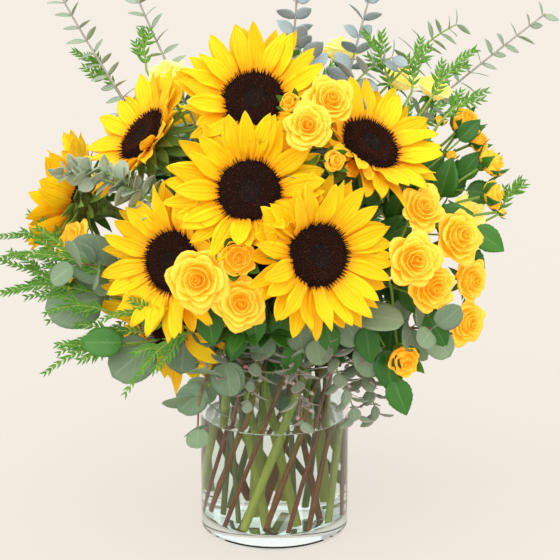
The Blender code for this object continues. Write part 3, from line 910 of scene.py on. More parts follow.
@dataclass
class CylinderVase:
    """The clear cylinder with a thick floor, and the water it holds."""

    lip_steps: int = 5
    steps: int = 128
    outer_corner: float = 2.0 * MM
    inner_corner: float = 5.0 * MM
    foot_width: float = 9 * MM
    foot_slope: float = 3 * MM
    hollow: float = 0.6 * MM
    support: float = 0.6 * MM
    meniscus: float = 1.6 * MM
    overlap: float = 0.15 * MM

    def __post_init__(self) -> None:
        """Read the vase's sizes from its CAD solids."""
        low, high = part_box("vase")
        self.radius = (high.x - low.x) / 2
        self.height = high.z
        ends = CadSolid("vase")
        tree = BVHTree.FromBMesh(ends.bm)
        # just off the axis, where no edge of the mesh runs
        hit = tree.ray_cast(Vector((1 * MM, 1 * MM, high.z)), -UP)[0]
        self.floor = hit.z
        side = tree.ray_cast(Vector((0.0, 0.5 * MM, self.height * 0.8)), Vector((1.0, 0.0, 0.0)))[0]
        self.inner = side.x
        self.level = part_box("water")[1].z

    def rounded(self, centre: tuple[float, float], radius: float, start: float,
                sweep: float) -> list[tuple[float, float]]:
        """Return the points of a rounded corner.

        Args:
            centre: radius and height of the corner's own centre.
            radius: the corner's radius.
            start: the angle that it starts at, in degrees.
            sweep: how far it turns, in degrees.

        Returns:
            Radius and height of each point.
        """
        angles = [math.radians(start + sweep * i / self.lip_steps) for i in range(self.lip_steps + 1)]
        return [(centre[0] + radius * math.cos(a), centre[1] + radius * math.sin(a)) for a in angles]

    def build_glass(self) -> None:
        """Turn the vase, with a fire-polished rim and rounded corners inside and out."""
        edge, inside, hold = self.outer_corner, self.inner_corner, self.support
        rim = (self.radius - self.inner) / 2
        foot, hollow = self.radius - self.foot_width, self.hollow
        profile = [(0.0, hollow), (foot - self.foot_slope - hold, hollow),
                   (foot - self.foot_slope, hollow), (foot, 0.0), (foot + hold, 0.0),
                   (self.radius - edge - hold, 0.0)]
        profile += self.rounded((self.radius - edge, edge), edge, -90, 90)
        # a ring just past each corner keeps the shading of the long walls straight
        profile += [(self.radius, edge + hold), (self.radius, self.height - rim - hold)]
        profile += self.rounded((self.radius - rim, self.height - rim), rim, 0, 180)
        profile += [(self.inner, self.height - rim - hold), (self.inner, self.floor + inside + hold)]
        profile += self.rounded((self.inner - inside, self.floor + inside), inside, 0, -90)
        profile += [(self.inner - inside - hold, self.floor), (0.0, self.floor)]
        bm = new_shape()
        turned(bm, profile, Matrix.Identity(4), self.steps)
        finish_piece(bm, "glass_cylinder", VASE_GLASS, ["vase"], smooth=40)

    def build_water(self) -> None:
        """Fill the vase to its level, with a small meniscus at the wall."""
        wall, inside, hold = self.inner + self.overlap, self.inner_corner, self.support
        bed, top = self.floor - self.overlap, self.level + self.meniscus
        profile = [(0.0, bed), (wall - inside - hold, bed)]
        profile += self.rounded((wall - inside, bed + inside), inside, -90, 90)
        # the water climbs the last few millimetres to the wall
        profile += [(wall, self.floor + inside + hold), (wall, top - 0.3 * MM), (wall, top),
                    (wall - 0.6 * MM, self.level + 0.7 * MM), (wall - 2.2 * MM, self.level),
                    (wall - 3.0 * MM, self.level), (0.0, self.level)]
        bm = new_shape()
        turned(bm, profile, Matrix.Identity(4), self.steps)
        finish_piece(bm, "vase_water_body", VASE_WATER, ["water"], smooth=50)


# ---------------------------------------------------------------- sunflowers

@dataclass
class Sunflower:
    """One sunflower: stem and receptacle, green bracts, disc of florets and two whorls of rays."""

    number: int
    petal_root: float = 20.5 * MM
    petal_length: float = 42 * MM
    petal_width: float = 15 * MM
    whorls: tuple[int, int] = (20, 21)
    bract_length: float = 27 * MM
    first_seed: int = 100
    directions: int = 28
    calyx: float = 26 * MM
    thickest: float = 6 * MM
    slim: float = 0.85
    florets: int = 620

    def __post_init__(self) -> None:
        """Read the head's frame, the stem's route and the reach of its rays."""
        self.rng = random.Random(self.first_seed + self.number)
        self.name = f"sunflower_{self.number}"
        seat = min(CadSolid(self.name + "_disc").flat_ends()[:2], key=lambda end: -end.radius)
        self.facing = -seat.normal
        self.centre = seat.centre
        self.head = frame_matrix(self.centre, self.facing)
        stem = CadSolid(self.name + "_stem")
        foot = min((end for end in stem.flat_ends() if end.radius < self.thickest),
                   key=lambda end: end.centre.z)
        self.route = StemRoute(stem, foot, self.centre - self.facing * self.calyx)
        self.reaches = self.read_reaches(CadSolid(self.name + "_petals"))

    def read_reaches(self, petals: CadSolid) -> list[tuple[float, float]]:
        """Find how far out and how high the CAD rays go, in each direction.

        Args:
            petals: the CAD solid of the rays.

        Returns:
            Distance from the head's axis and height over its seat, by direction.
        """
        to_head = self.head.inverted()
        found = [(self.petal_root, 0.0)] * self.directions
        for vert in petals.bm.verts:
            place = to_head @ vert.co
            reach = math.hypot(place.x, place.y)
            sector = round(math.atan2(place.y, place.x) / math.tau * self.directions) % self.directions
            if reach > found[sector][0]:
                found[sector] = (reach, place.z)
        widest = []
        for sector in range(self.directions):
            near = [found[(sector + step) % self.directions] for step in (-1, 0, 1)]
            widest.append(max(near))
        return widest

    def add_ray(self, bm: bmesh.types.BMesh, angle: float, outer: bool) -> None:
        """Add one ray petal.

        Args:
            bm: the shape.
            angle: its direction round the head.
            outer: whether it belongs to the outer whorl.
        """
        rng = self.rng
        # the ray fills the room that its CAD petal has, and stands up where there is less of it
        reach, height = self.reaches[round(angle / math.tau * self.directions) % self.directions]
        root = self.petal_root + (1.0 * MM if outer else -0.5 * MM)
        length = self.petal_length * rng.uniform(0.86, 1.06)
        room = max(reach - root + 9 * MM, 8 * MM)
        rise = math.atan2(height, max(reach - root, 5 * MM)) + math.radians(rng.uniform(-7, 7))
        rise += math.radians(-6 if outer else 7)
        if length * math.cos(rise) > room:
            rise = min(math.radians(62), math.acos(min(1.0, room / length)))
            length = min(length, room / math.cos(rise))
        # most rays arch out a little, and one in five curls in over the disc
        curl = rng.uniform(-0.55, 0.35)
        if rng.random() < 0.2:
            curl = rng.uniform(0.5, 1.1)
        start = rise - curl / 2
        width = self.petal_width * rng.uniform(0.82, 1.12) / 2
        sway, twist = rng.uniform(-0.16, 0.16), rng.uniform(-0.5, 0.5)
        ripple, phase = rng.uniform(0.3, 1.5) * MM, rng.uniform(0, math.tau)
        waves = rng.uniform(1.2, 2.4)
        cup = rng.uniform(0.10, 0.34)
        base = 0.4 * MM if outer else 1.4 * MM
        outward = radial(angle)
        beside = Vector((-math.sin(angle), math.cos(angle), 0.0))

        def skin(u: float, v: float) -> Vector:
            """Place a point of the petal.

            Args:
                u: -1 to 1 across the petal.
                v: 0 to 1 from its base to its tip.

            Returns:
                The point.
            """
            bend = start + curl * v
            far = (math.sin(bend) - math.sin(start)) / curl
            high = (math.cos(start) - math.cos(bend)) / curl
            if v < 0.5:
                half = 0.42 + 0.58 * math.sin(math.pi * v)
            else:
                half = max(math.cos(math.pi * (v - 0.5)) ** 0.72, 0.02) if v < 1 else 0.02
            half *= width
            middle = outward * (root + length * far) + UP * (base + length * high) \
                + beside * length * sway * v * v
            roll = twist * v
            lift = -outward * math.sin(bend) + UP * math.cos(bend)
            side = beside * math.cos(roll) + lift * math.sin(roll)
            lift = lift * math.cos(roll) - beside * math.sin(roll)
            hollow = cup * half * u * u + 0.55 * MM * math.cos(3 * math.pi * u) * (1 - 0.7 * v) \
                + ripple * u * abs(u) * math.sin(math.tau * waves * v + phase)
            return self.head @ (middle + side * u * half + lift * hollow)

        sheet(bm, 10, 14, skin, rng.random() ** 2 * 0.5 + (0.12 if outer else 0.0))

    def build_rays(self) -> None:
        """Set both whorls of ray petals round the disc."""
        bm = new_shape()
        turn = self.rng.uniform(0, math.tau)
        for whorl, count in enumerate(self.whorls):
            for index in range(count):
                step = (index + 0.5 * whorl + self.rng.uniform(-0.28, 0.28)) / count
                self.add_ray(bm, turn + math.tau * step, whorl == 1)
        finish_piece(bm, self.name + "_ray_petals", RAY_PETAL, [self.name + "_petals"],
                     thickness=0.4 * MM, smooth=70)

    def build_disc(self) -> None:
        """Set the florets in spirals over a low dome."""
        bm = disc_shape(self.number % 2, self.florets)
        bmesh.ops.transform(bm, matrix=self.head @ Matrix.Rotation(self.number, 4, "Z"), verts=bm.verts)
        finish_piece(bm, self.name + "_florets", DISC_FLORET, [self.name + "_disc"],
                     smooth=40)

    def build_stem(self) -> None:
        """Draw the stem up into the receptacle, with its green bracts behind the rays."""
        bm = new_shape()
        points = self.route.points(16)
        radii = [self.route.radius * (self.slim + 0.3 * (i / (len(points) - 1)) ** 3)
                 for i in range(len(points))]
        tube(bm, points, radii, 14, (self.number * 0.37) % 1.0 * 0.6)
        # the receptacle, from the stem's end to the seat, in millimetres
        cup = [(0.0, -31), (4.6, -30), (5.4, -26), (8.5, -20), (14, -12), (18.5, -6), (20.5, -1.5),
               (19.5, 0.0), (0.0, 0.0)]
        turned(bm, scaled(cup, MM), self.head, 28)
        finish_piece(bm, self.name + "_green_stem", SUNFLOWER_STEM,
                     [self.name + "_stem"])
        bm = new_shape()
        # bracts by whorl: how many, distance from the axis and height in mm, and rise in degrees
        for whorl, (count, radius, height, rise) in enumerate(
                ((14, 19.5, -1.8, -4), (13, 18.0, -5.0, -24), (11, 13.5, -11.0, -48))):
            for index in range(count):
                angle = math.tau * (index + 0.5 * whorl + self.rng.uniform(-0.2, 0.2)) / count
                out = radial(angle)
                slope = math.radians(rise + self.rng.uniform(-10, 10))
                growth, face = sloped(out, slope)
                turn = self.head.to_3x3()
                leaf = Blade(Outline.BRACT, self.bract_length * self.rng.uniform(0.8, 1.15), 11 * MM,
                             fold=0.2, arch=self.rng.uniform(-0.9, 0.5) or 0.1, columns=4, rows=7)
                leaf.add(bm, self.head @ (out * radius * MM + UP * height * MM), turn @ growth,
                         turn @ face, self.rng.random() * 0.5)
        finish_piece(bm, self.name + "_bracts", BRACT, thickness=0.5 * MM)

    def build(self) -> None:
        """Build the whole flower."""
        self.build_stem()
        self.build_disc()
        self.build_rays()


DISC_RADIUS = 24.6
EYE, OPEN_RING = 0.36, 0.86  # where the eye ends and the outer florets begin, as shares of it
_disc_shapes: dict[int, bmesh.types.BMesh] = {}


def disc_shape(variant: int, count: int) -> bmesh.types.BMesh:
    """Return a copy of a disc's florets, building each variant once.

    Args:
        variant: which of the discs; they differ in their draws only.
        count: the number of florets.

    Returns:
        The disc's shape, in the head's own frame.
    """
    if variant in _disc_shapes:
        return _disc_shapes[variant].copy()
    rng = random.Random(7 + variant)
    bm = new_shape()
    # a low ring round a sunk middle, in millimetres
    dome = [(0.0, 4.6), (4.0, 4.8), (8.0, 5.6), (13.0, 7.0), (18.0, 7.2), (22.0, 5.4), (DISC_RADIUS, 2.4),
            (24.2, 0.3), (0.0, 0.3)]
    turned(bm, scaled(dome, MM), Matrix.Identity(4), 40, tone=0.9)
    layer = bm.verts.layers.float["tone"]
    for index in range(count):
        share = math.sqrt((index + 0.6) / count)
        radius = DISC_RADIUS * share
        angle = index * GOLDEN_ANGLE
        height = next(z0 + (z1 - z0) * (radius - r0) / (r1 - r0) for (r0, z0), (r1, z1)
                      in zip(dome, dome[1:]) if r0 <= radius <= r1)
        out = radial(angle)
        if share < EYE:
            tall, thick, lean = 1.5 + rng.uniform(-0.2, 0.3), 0.85, 0.1 - 0.5 * share
        elif share < OPEN_RING:
            tall, thick = 2.4 + 1.4 * rng.random(), 0.62
            lean = -0.25 + 1.1 * (share - EYE)
        else:
            tall, thick = 3.4 + 2.2 * rng.random(), 0.62
            lean = 0.55 + 5.0 * (share - OPEN_RING) + rng.uniform(-0.2, 0.2)
        axis = (UP * math.cos(lean) + out * math.sin(lean)
                + Vector((rng.uniform(-0.15, 0.15), rng.uniform(-0.15, 0.15), 0.0))).normalized()
        foot = out * radius * MM + UP * (height - 0.5) * MM
        turn = axis.to_track_quat("Z", "Y").to_matrix().to_4x4()
        made = bmesh.ops.create_cone(
            bm, cap_ends=True, segments=5, radius1=thick * MM, radius2=0.22 * thick * MM,
            depth=tall * MM, matrix=Matrix.Translation(foot + axis * tall * MM / 2) @ turn)
        tone = share + rng.uniform(-0.06, 0.06)
        for vert in made["verts"]:
            tip = (vert.co - foot).dot(axis) > 0.6 * tall * MM
            vert[layer] = min(1.0, tone) if tip or share < EYE else 0.95
    _disc_shapes[variant] = bm
    return bm.copy()


# ---------------------------------------------------------------- spray roses

CAP_REACH = 0.45  # the CAD bloom's flat cap, as a share of the bloom's radius
CAP_HEIGHT = 0.6  # how far that cap stands over the bloom's middle, in radii


class Opening(Enum):
    """How far a rose has opened: petals by whorl, how wide its rim is, how far petals roll."""

    BUD = ((3, 3, 4), 0.72, 0.06)
    HALF = ((3, 4, 4, 5), 0.86, 0.22)
    OPEN = ((3, 4, 4, 5, 5, 5), 1.02, 0.55)


@dataclass
class RoseBloom:
    """One rose: whorls of petals rolled round each other, a hip and five sepals."""

    centre: Vector
    facing: Vector
    radius: float
    opening: Opening
    seed: int

    def add_petal(self, bm: bmesh.types.BMesh, place: Matrix, share: float, angle: float,
                  span: float, rng: random.Random) -> None:
        """Add one petal.

        Args:
            bm: the shape.
            place: the bloom's frame, scaled to its radius.
            share: 0 for the innermost whorl and 1 for the outermost.
            angle: the direction of the petal's middle.
            span: the angle that it wraps round the bloom.
            rng: the bloom's own draws.
        """
        rim, roll = self.opening.value[1:]
        # all in radii of the bloom: widest girth, rim, foot and top, then how the edge is worked
        belly = 0.12 + 0.80 * share ** 1.2 + rng.uniform(-0.05, 0.05) * (0.4 + share)
        mouth = belly * (0.80 + (rim - 0.72) * min(1.0, 2.2 * share)) + 0.04
        foot = -0.78 + 0.45 * (1 - share)
        top = 0.56 - 0.46 * share ** 1.4 + rng.uniform(-0.09, 0.07)
        rolled = roll * share ** 1.3 * rng.uniform(0.5, 1.3)
        tilt = rng.uniform(0.01, 0.06)
        point = rng.uniform(-0.04, 0.10)
        ruffle = (0.012 + 0.055 * share) * rng.uniform(0.5, 1.5)
        crests, phase = rng.uniform(1.2, 2.6), rng.uniform(0, math.tau)
        scallop = (0.06 + 0.17 * share) * rng.uniform(0.7, 1.3)

        def skin(u: float, v: float) -> Vector:
            """Place a point of the petal.

            Args:
                u: -1 to 1 across the petal.
                v: 0 to 1 from its base to its tip.

            Returns:
                The point.
            """
            radius = 0.10 + (belly - 0.10) * math.sin(min(v / 0.6, 1.0) * math.pi / 2)
            radius += (mouth - belly) * max(0.0, v - 0.5) ** 1.3 * 2.46
            height = foot + (top - foot) * v ** 1.1
            over = max(0.0, v - 0.66) / 0.34
            curl = rolled * over ** 1.6 * (0.55 + 0.45 * math.cos(math.pi * u * 0.8))
            radius += 0.40 * curl
            height -= 0.42 * curl * over
            height -= (0.20 + 0.12 * share) * abs(u) ** 2.6 * v - point * (1 - abs(u)) ** 2 * over
            wave = ruffle * math.sin(math.pi * crests * u + phase) * v ** 3
            radius += tilt * u + wave + 0.06 * share * (1 - abs(u)) * over
            radius *= 1 - scallop * abs(u) ** 2.2 * v * v
            height += 0.6 * wave
            wide = 0.42 + 0.58 * math.sin(min(v / 0.6, 1.0) * math.pi / 2)
            turn = angle + u * span / 2 * wide
            return place @ Vector((radius * math.cos(turn), radius * math.sin(turn), height))

        sheet(bm, 10, 10, skin, 0.85 * (1 - share) ** 2.4 + rng.uniform(0.0, 0.22))

    def add_petals(self, bm: bmesh.types.BMesh) -> None:
        """Add every petal of the bloom.

        Args:
            bm: the shape that they are added to.
        """
        rng = random.Random(self.seed)
        place = frame_matrix(self.centre, self.facing, rng.uniform(0, math.tau)) \
            @ Matrix.Scale(self.radius, 4)
        whorls = self.opening.value[0]
        core = [(0.0, -0.7), (0.07, -0.6), (0.09, 0.1), (0.05, 0.48), (0.0, 0.52)]
        turned(bm, core, place, 10, tone=0.9)
        for whorl, count in enumerate(whorls):
            share = whorl / (len(whorls) - 1)
            turn = whorl * 2.4 + rng.uniform(-0.4, 0.4)
            # each whorl sits a little off the middle and leans its own way, as a rose's swirl does
            loose = 0.05 * (1 - share) + 0.02
            own = Matrix.Translation((rng.uniform(-loose, loose), rng.uniform(-loose, loose), 0.0)) \
                @ Matrix.Rotation(rng.uniform(-0.10, 0.10), 4, "X")
            for index in range(count):
                angle = turn + math.tau * (index + rng.uniform(-0.16, 0.16)) / count
                self.add_petal(bm, place @ own, share, angle, math.tau / count * (1.8 - 0.25 * share),
                               rng)

    def add_green(self, bm: bmesh.types.BMesh) -> None:
        """Add the hip and the sepals.

        Args:
            bm: the shape that they are added to.
        """
        rng = random.Random(self.seed + 1)
        place = frame_matrix(self.centre, self.facing, rng.uniform(0, math.tau))
        size = self.radius
        hip = [(0.0, -1.12), (0.14, -1.08), (0.24, -0.92), (0.24, -0.80), (0.16, -0.68), (0.0, -0.64)]
        turned(bm, scaled(hip, size), place, 14)
        turn = place.to_3x3()
        long = 1.0 if self.opening is Opening.OPEN else 1.85
        for index in range(5):
            angle = math.tau * (index + rng.uniform(-0.15, 0.15)) / 5
            out = radial(angle)
            if self.opening is Opening.OPEN:
                slope, arch, wide = rng.uniform(-0.3, 0.5), rng.uniform(0.2, 0.9), 0.34
            else:
                slope, arch, wide = rng.uniform(0.0, 0.15), rng.uniform(-1.75, -1.45), 0.78
            growth, face = sloped(out, slope)
            leaf = Blade(Outline.LANCE, size * long, size * wide, fold=0.2, arch=arch, columns=4, rows=6)
            leaf.add(bm, place @ (out * 0.22 * size + UP * -0.78 * size), turn @ growth, turn @ face,
                     rng.random() * 0.4)


@dataclass
class RoseSpray:
    """One cut spray: a branching stem, leaves of five leaflets, and its roses.

    A loose bloom is the spray's own if its cap is in line with a branch's end and near it, in
    radii of the bloom.
    """

    number: int
    loose: list[FlatEnd]
    pale: bool = False
    leaves: int = 4
    joins: tuple[int, ...] = (3, 4, 5, 6, 7, 8)
    bud_size: float = 9.5 * MM
    half_size: float = 13.2 * MM
    near_cap: float = 1.45
    in_line: float = 0.99
    first_seed: int = 300

    def __post_init__(self) -> None:
        """Read the stem's route, the branches and the blooms."""
        self.rng = random.Random(self.first_seed + self.number)
        self.name = f"rose_spray_{self.number}"
        self.solid = CadSolid(self.name)
        ends = self.solid.flat_ends()
        foot = min(ends, key=lambda end: end.centre.z)
        self.blooms: list[RoseBloom] = []
        first: Optional[RoseBloom] = None
        for order, end in enumerate(end for end in ends if end is not foot and end.radius > TWIG_END):
            top = next((cap for cap in self.loose
                        if (cap.centre - end.centre).length < self.near_cap * cap.radius / CAP_REACH
                        and (cap.centre - end.centre).normalized().dot(cap.normal) > self.in_line), None)
            cap = top or end
            size = cap.radius / CAP_REACH
            bloom = RoseBloom(cap.centre - cap.normal * CAP_HEIGHT * size, cap.normal, size,
                              self.opening(size), 1000 * self.number + order)
            self.blooms.append(bloom)
            if end.sides == foot.sides:
                first = bloom
        first = first or self.blooms[0]
        seat = first.centre - first.facing * (0.8 * first.radius)
        self.route = StemRoute(self.solid, foot, seat)
        handles = self.route.handles
        gap = (seat - handles[0]).length
        self.route.handles = (handles[0], handles[1], seat - first.facing * 0.4 * gap, seat)
        self.first = first

    def opening(self, size: float) -> Opening:
        """Tell how far a bloom has opened.

        Args:
            size: its radius.

        Returns:
            Its opening.
        """
        if size < self.bud_size:
            return Opening.BUD
        return Opening.HALF if size < self.half_size else Opening.OPEN

    def branch_line(self, bloom: RoseBloom, tree: BVHTree) -> list[Vector]:
        """Find the branch that lies inside the CAD solid's own.

        Args:
            bloom: the bloom at the branch's end.
            tree: the spray's CAD surface.

        Returns:
            The branch's points, from the main stem to the bloom's seat.
        """
        seat = bloom.centre - bloom.facing * 0.8 * bloom.radius
        best: tuple[float, list[Vector]] = (math.inf, [])
        for join in self.joins:
            start = self.route.point((join - 1) / StemRoute.CURVE_RINGS)
            onward = (start - self.route.point((join - 2) / StemRoute.CURVE_RINGS)).normalized()
            gap = (seat - start).length
            handles = (start, start + onward * 0.35 * gap, seat - bloom.facing * 0.45 * gap,
                       seat - bloom.facing * 4 * MM)
            line = [bezier_point(handles, i / 8) for i in range(9)] + [seat]
            miss = sum((tree.find_nearest(point)[0] - point).length for point in line[2:-1])
            if miss < best[0]:
                best = (miss, line)
        return best[1]

    def add_leaf(self, bm: bmesh.types.BMesh, root: Vector, growth: Vector, size: float) -> None:
        """Add one compound leaf.

        Args:
            bm: the shape.
            root: where its stalk leaves the stem.
            growth: the way the stalk grows.
            size: the length of its end leaflet.
        """
        along = growth.normalized()
        face = (UP - along * along.dot(UP)).normalized()
        across = along.cross(face)
        stalk = [root, root + along * size * 0.45, root + along * size * 1.0 + face * size * 0.06]
        tube(bm, stalk, [0.7 * MM, 0.6 * MM, 0.5 * MM], 6)
        # a pair of leaflets halfway, and a pair with the end leaflet at the tip
        for place, ways in ((0.45, (-1, 1)), (1.0, (-1, 0, 1))):
            for way in ways:
                lean = along * (0.55 if way else 1.0) + across * way * 0.9
                scale = (0.62 + 0.2 * place) if way else 1.0
                tilt = (face + scatter(self.rng, 0.3)).normalized()
                Blade(Outline.TOOTHED, size, size * 0.62, fold=0.22, arch=self.rng.uniform(0.2, 0.7),
                      columns=6, rows=22, stalk=size * 0.06).add(
                    bm, root + along * size * place, lean, tilt, self.rng.random() * 0.5, scale)

    def build(self) -> None:
        """Build stems, leaves and blooms."""
        bm = new_shape()
        points = self.route.points(26)
        last = len(points) - 1
        # each leaf scar is a slight swelling of the cane
        radii = [self.route.radius * (1.0 - 0.45 * i / last) * (1.28 if i % 4 == 2 else 1.0)
                 for i in range(len(points))]
        tube(bm, points, radii, 10)
        finish_piece(bm, self.name + "_cane", ROSE_STEM, [self.name])
        bm = new_shape()
        tree = BVHTree.FromBMesh(self.solid.bm)
        for bloom in self.blooms:
            if bloom is not self.first:
                line = self.branch_line(bloom, tree)
                tube(bm, line, [1.2 * MM] * len(line), 8)
        if len(self.blooms) > 1:
            finish_piece(bm, self.name + "_branches", BRANCH_STEM)
        bm = new_shape()
        for bloom in self.blooms:
            bloom.add_green(bm)
        for index in range(self.leaves):
            share = 0.30 + 0.5 * index / max(self.leaves - 1, 1)
            way = self.route.direction(share)
            side = Matrix.Rotation(2.4 * index + self.number, 3, way) @ way.orthogonal()
            self.add_leaf(bm, self.route.point(share), side + way * 0.5, self.rng.uniform(20, 27) * MM)
        finish_piece(bm, self.name + "_leaves", ROSE_LEAF, thickness=LEAF_GAUGE)
        bm = new_shape()
        for bloom in self.blooms:
            bloom.add_petals(bm)
        tops = [bloom.centre + bloom.facing * CAP_HEIGHT * bloom.radius for bloom in self.blooms]
        replaced = [name for name, cap in LOOSE_BLOOMS.items()
                    if any((cap.centre - top).length < MM for top in tops)]
        finish_piece(bm, self.name + "_roses", PALE_ROSE_PETAL if self.pale else ROSE_PETAL,
                     replaced, thickness=PETAL_GAUGE, smooth=70)


LOOSE_BLOOMS: dict[str, FlatEnd] = {}


# ---------------------------------------------------------------- foliage

@dataclass(frozen=True)
class Foliage:
    """What one kind of sprig bears: its leaf, how the leaves stand, and how many.

    Start is where they begin along the stem, lean how far they point ahead, turn the angle from
    one pair to the next with its spread, tilt how they roll, and taper the last leaf's size.
    """

    leaf: Blade
    finish: LeafTissue
    bark: StemBark
    slot: str
    spacing: float
    start: float
    lean: float
    taper: float
    turn: float = math.pi / 2
    spread: float = 0.1
    tilt: float = 0.4
    pods: bool = False
    fronds: float = 0.0


class Greens(Enum):
    """The kinds of foliage, by the first words of their CAD nodes."""

    BABY_EUCALYPTUS = Foliage(
        Blade(Outline.OVAL, 19 * MM, 7.5 * MM, 0.12, 0.3, stalk=0.8 * MM), YOUNG_BLUE, YOUNG_STEM,
        "baby_eucalyptus", spacing=10.5 * MM, start=0.40, lean=0.12, taper=0.72, turn=0.0, spread=0.55,
        tilt=0.7)
    BROAD_EUCALYPTUS = Foliage(
        Blade(Outline.OVAL, 24 * MM, 15.5 * MM, 0.12, 0.35, stalk=0.8 * MM), BABY_BLUE, YOUNG_STEM,
        "baby_eucalyptus", spacing=12 * MM, start=0.45, lean=0.35, taper=0.7, turn=0.0, spread=0.8,
        tilt=1.5)
    SILVER_DOLLAR = Foliage(
        Blade(Outline.ROUND, 33 * MM, 33 * MM, 0.08, 0.4, 8, 10, 6 * MM), SILVER_DOLLAR, EUCALYPTUS_STEM,
        "silver_dollar", spacing=19 * MM, start=0.40, lean=0.35, taper=0.7)
    CIDER_GUM = Foliage(
        Blade(Outline.OVAL, 19 * MM, 15.5 * MM, 0.15, 0.35, 6, 6, 0.8 * MM), CIDER_GUM, YOUNG_STEM,
        "baby_eucalyptus", spacing=8 * MM, start=0.45, lean=0.5, taper=0.75, turn=1.35, spread=0.4,
        tilt=1.0)
    SEEDED_EUCALYPTUS = Foliage(
        Blade(Outline.OVAL, 22 * MM, 14 * MM, 0.12, 0.5, 4, 8, 3 * MM), SEEDED_LEAF, EUCALYPTUS_STEM,
        "silver_dollar", spacing=9 * MM, start=0.30, lean=0.4, taper=0.7, pods=True)
    FERN = Foliage(
        Blade(Outline.LANCE, 10.5 * MM, 2.8 * MM, 0.10, -0.35, 2, 4), FERN_LEAF, FERN_STEM, "fern",
        spacing=4.2 * MM, start=0.42, lean=1.3, taper=0.6, turn=0.0, spread=0.15, fronds=64 * MM)


BROAD_SPRIGS = ("baby_eucalyptus_3", "baby_eucalyptus_4")
PALE_SPRAY = 6


def leafy_line(bm: bmesh.types.BMesh, kind: Foliage, line: Sequence[Vector], rng: random.Random,
               crowding: float = 1.0) -> None:
    """Set pairs of leaves along a line, smaller towards its tip.

    Args:
        bm: the shape.
        kind: what the line bears.
        line: evenly spaced points, from the first pair to the tip.
        rng: the sprig's own draws.
        crowding: the distance between pairs, as a share of the kind's own.
    """
    length = sum((b - a).length for a, b in zip(line, line[1:]))
    count = max(2, round(length / (kind.spacing * crowding)))
    side: Optional[Vector] = None
    for index in range(count + 1):
        place = index / count * (len(line) - 1)
        first = min(int(place), len(line) - 2)
        root = line[first].lerp(line[first + 1], place - first)
        way = (line[first + 1] - line[first]).normalized()
        if side is None:
            side = way.cross(Vector((0.0, 1.0, 0.25))).normalized()
        side = (side - way * side.dot(way)).normalized()
        swing = kind.turn * index + rng.uniform(-kind.spread, kind.spread)
        across = Matrix.Rotation(swing, 3, way) @ side
        scale = 1.0 - (1.0 - kind.taper) * index / count
        for sign in (-1, 1):
            wild = scatter(rng, 0.22)
            growth = across * sign + way * (kind.lean + 0.5 * index / count) + wild
            tilt = rng.uniform(-kind.tilt, kind.tilt)
            face = way * math.cos(tilt) + way.cross(across) * math.sin(tilt)
            if kind.fronds:
                face = way.cross(side) + wild
            kind.leaf.add(bm, root, growth, face, rng.random() * 0.5, scale * rng.uniform(0.85, 1.12))


def add_pods(bm: bmesh.types.BMesh, root: Vector, way: Vector, rng: random.Random) -> None:
    """Add a small cluster of seed pods on their stalks.

    Args:
        bm: the shape.
        root: where the cluster leaves the stem.
        way: the way the stem runs.
        rng: the sprig's own draws.
    """
    for _ in range(3):
        out = scatter(rng, 1).normalized() + way * 0.3
        tip = root + out * rng.uniform(6, 12) * MM
        tube(bm, [root, tip], [0.35 * MM, 0.4 * MM], 4)
        pod = [(0.0, 0.0), (1.3, 0.6), (1.7, 2.2), (1.3, 3.6), (0.5, 4.4), (0.0, 5.6)]
        turned(bm, scaled(pod, MM), frame_matrix(tip, out), 8)


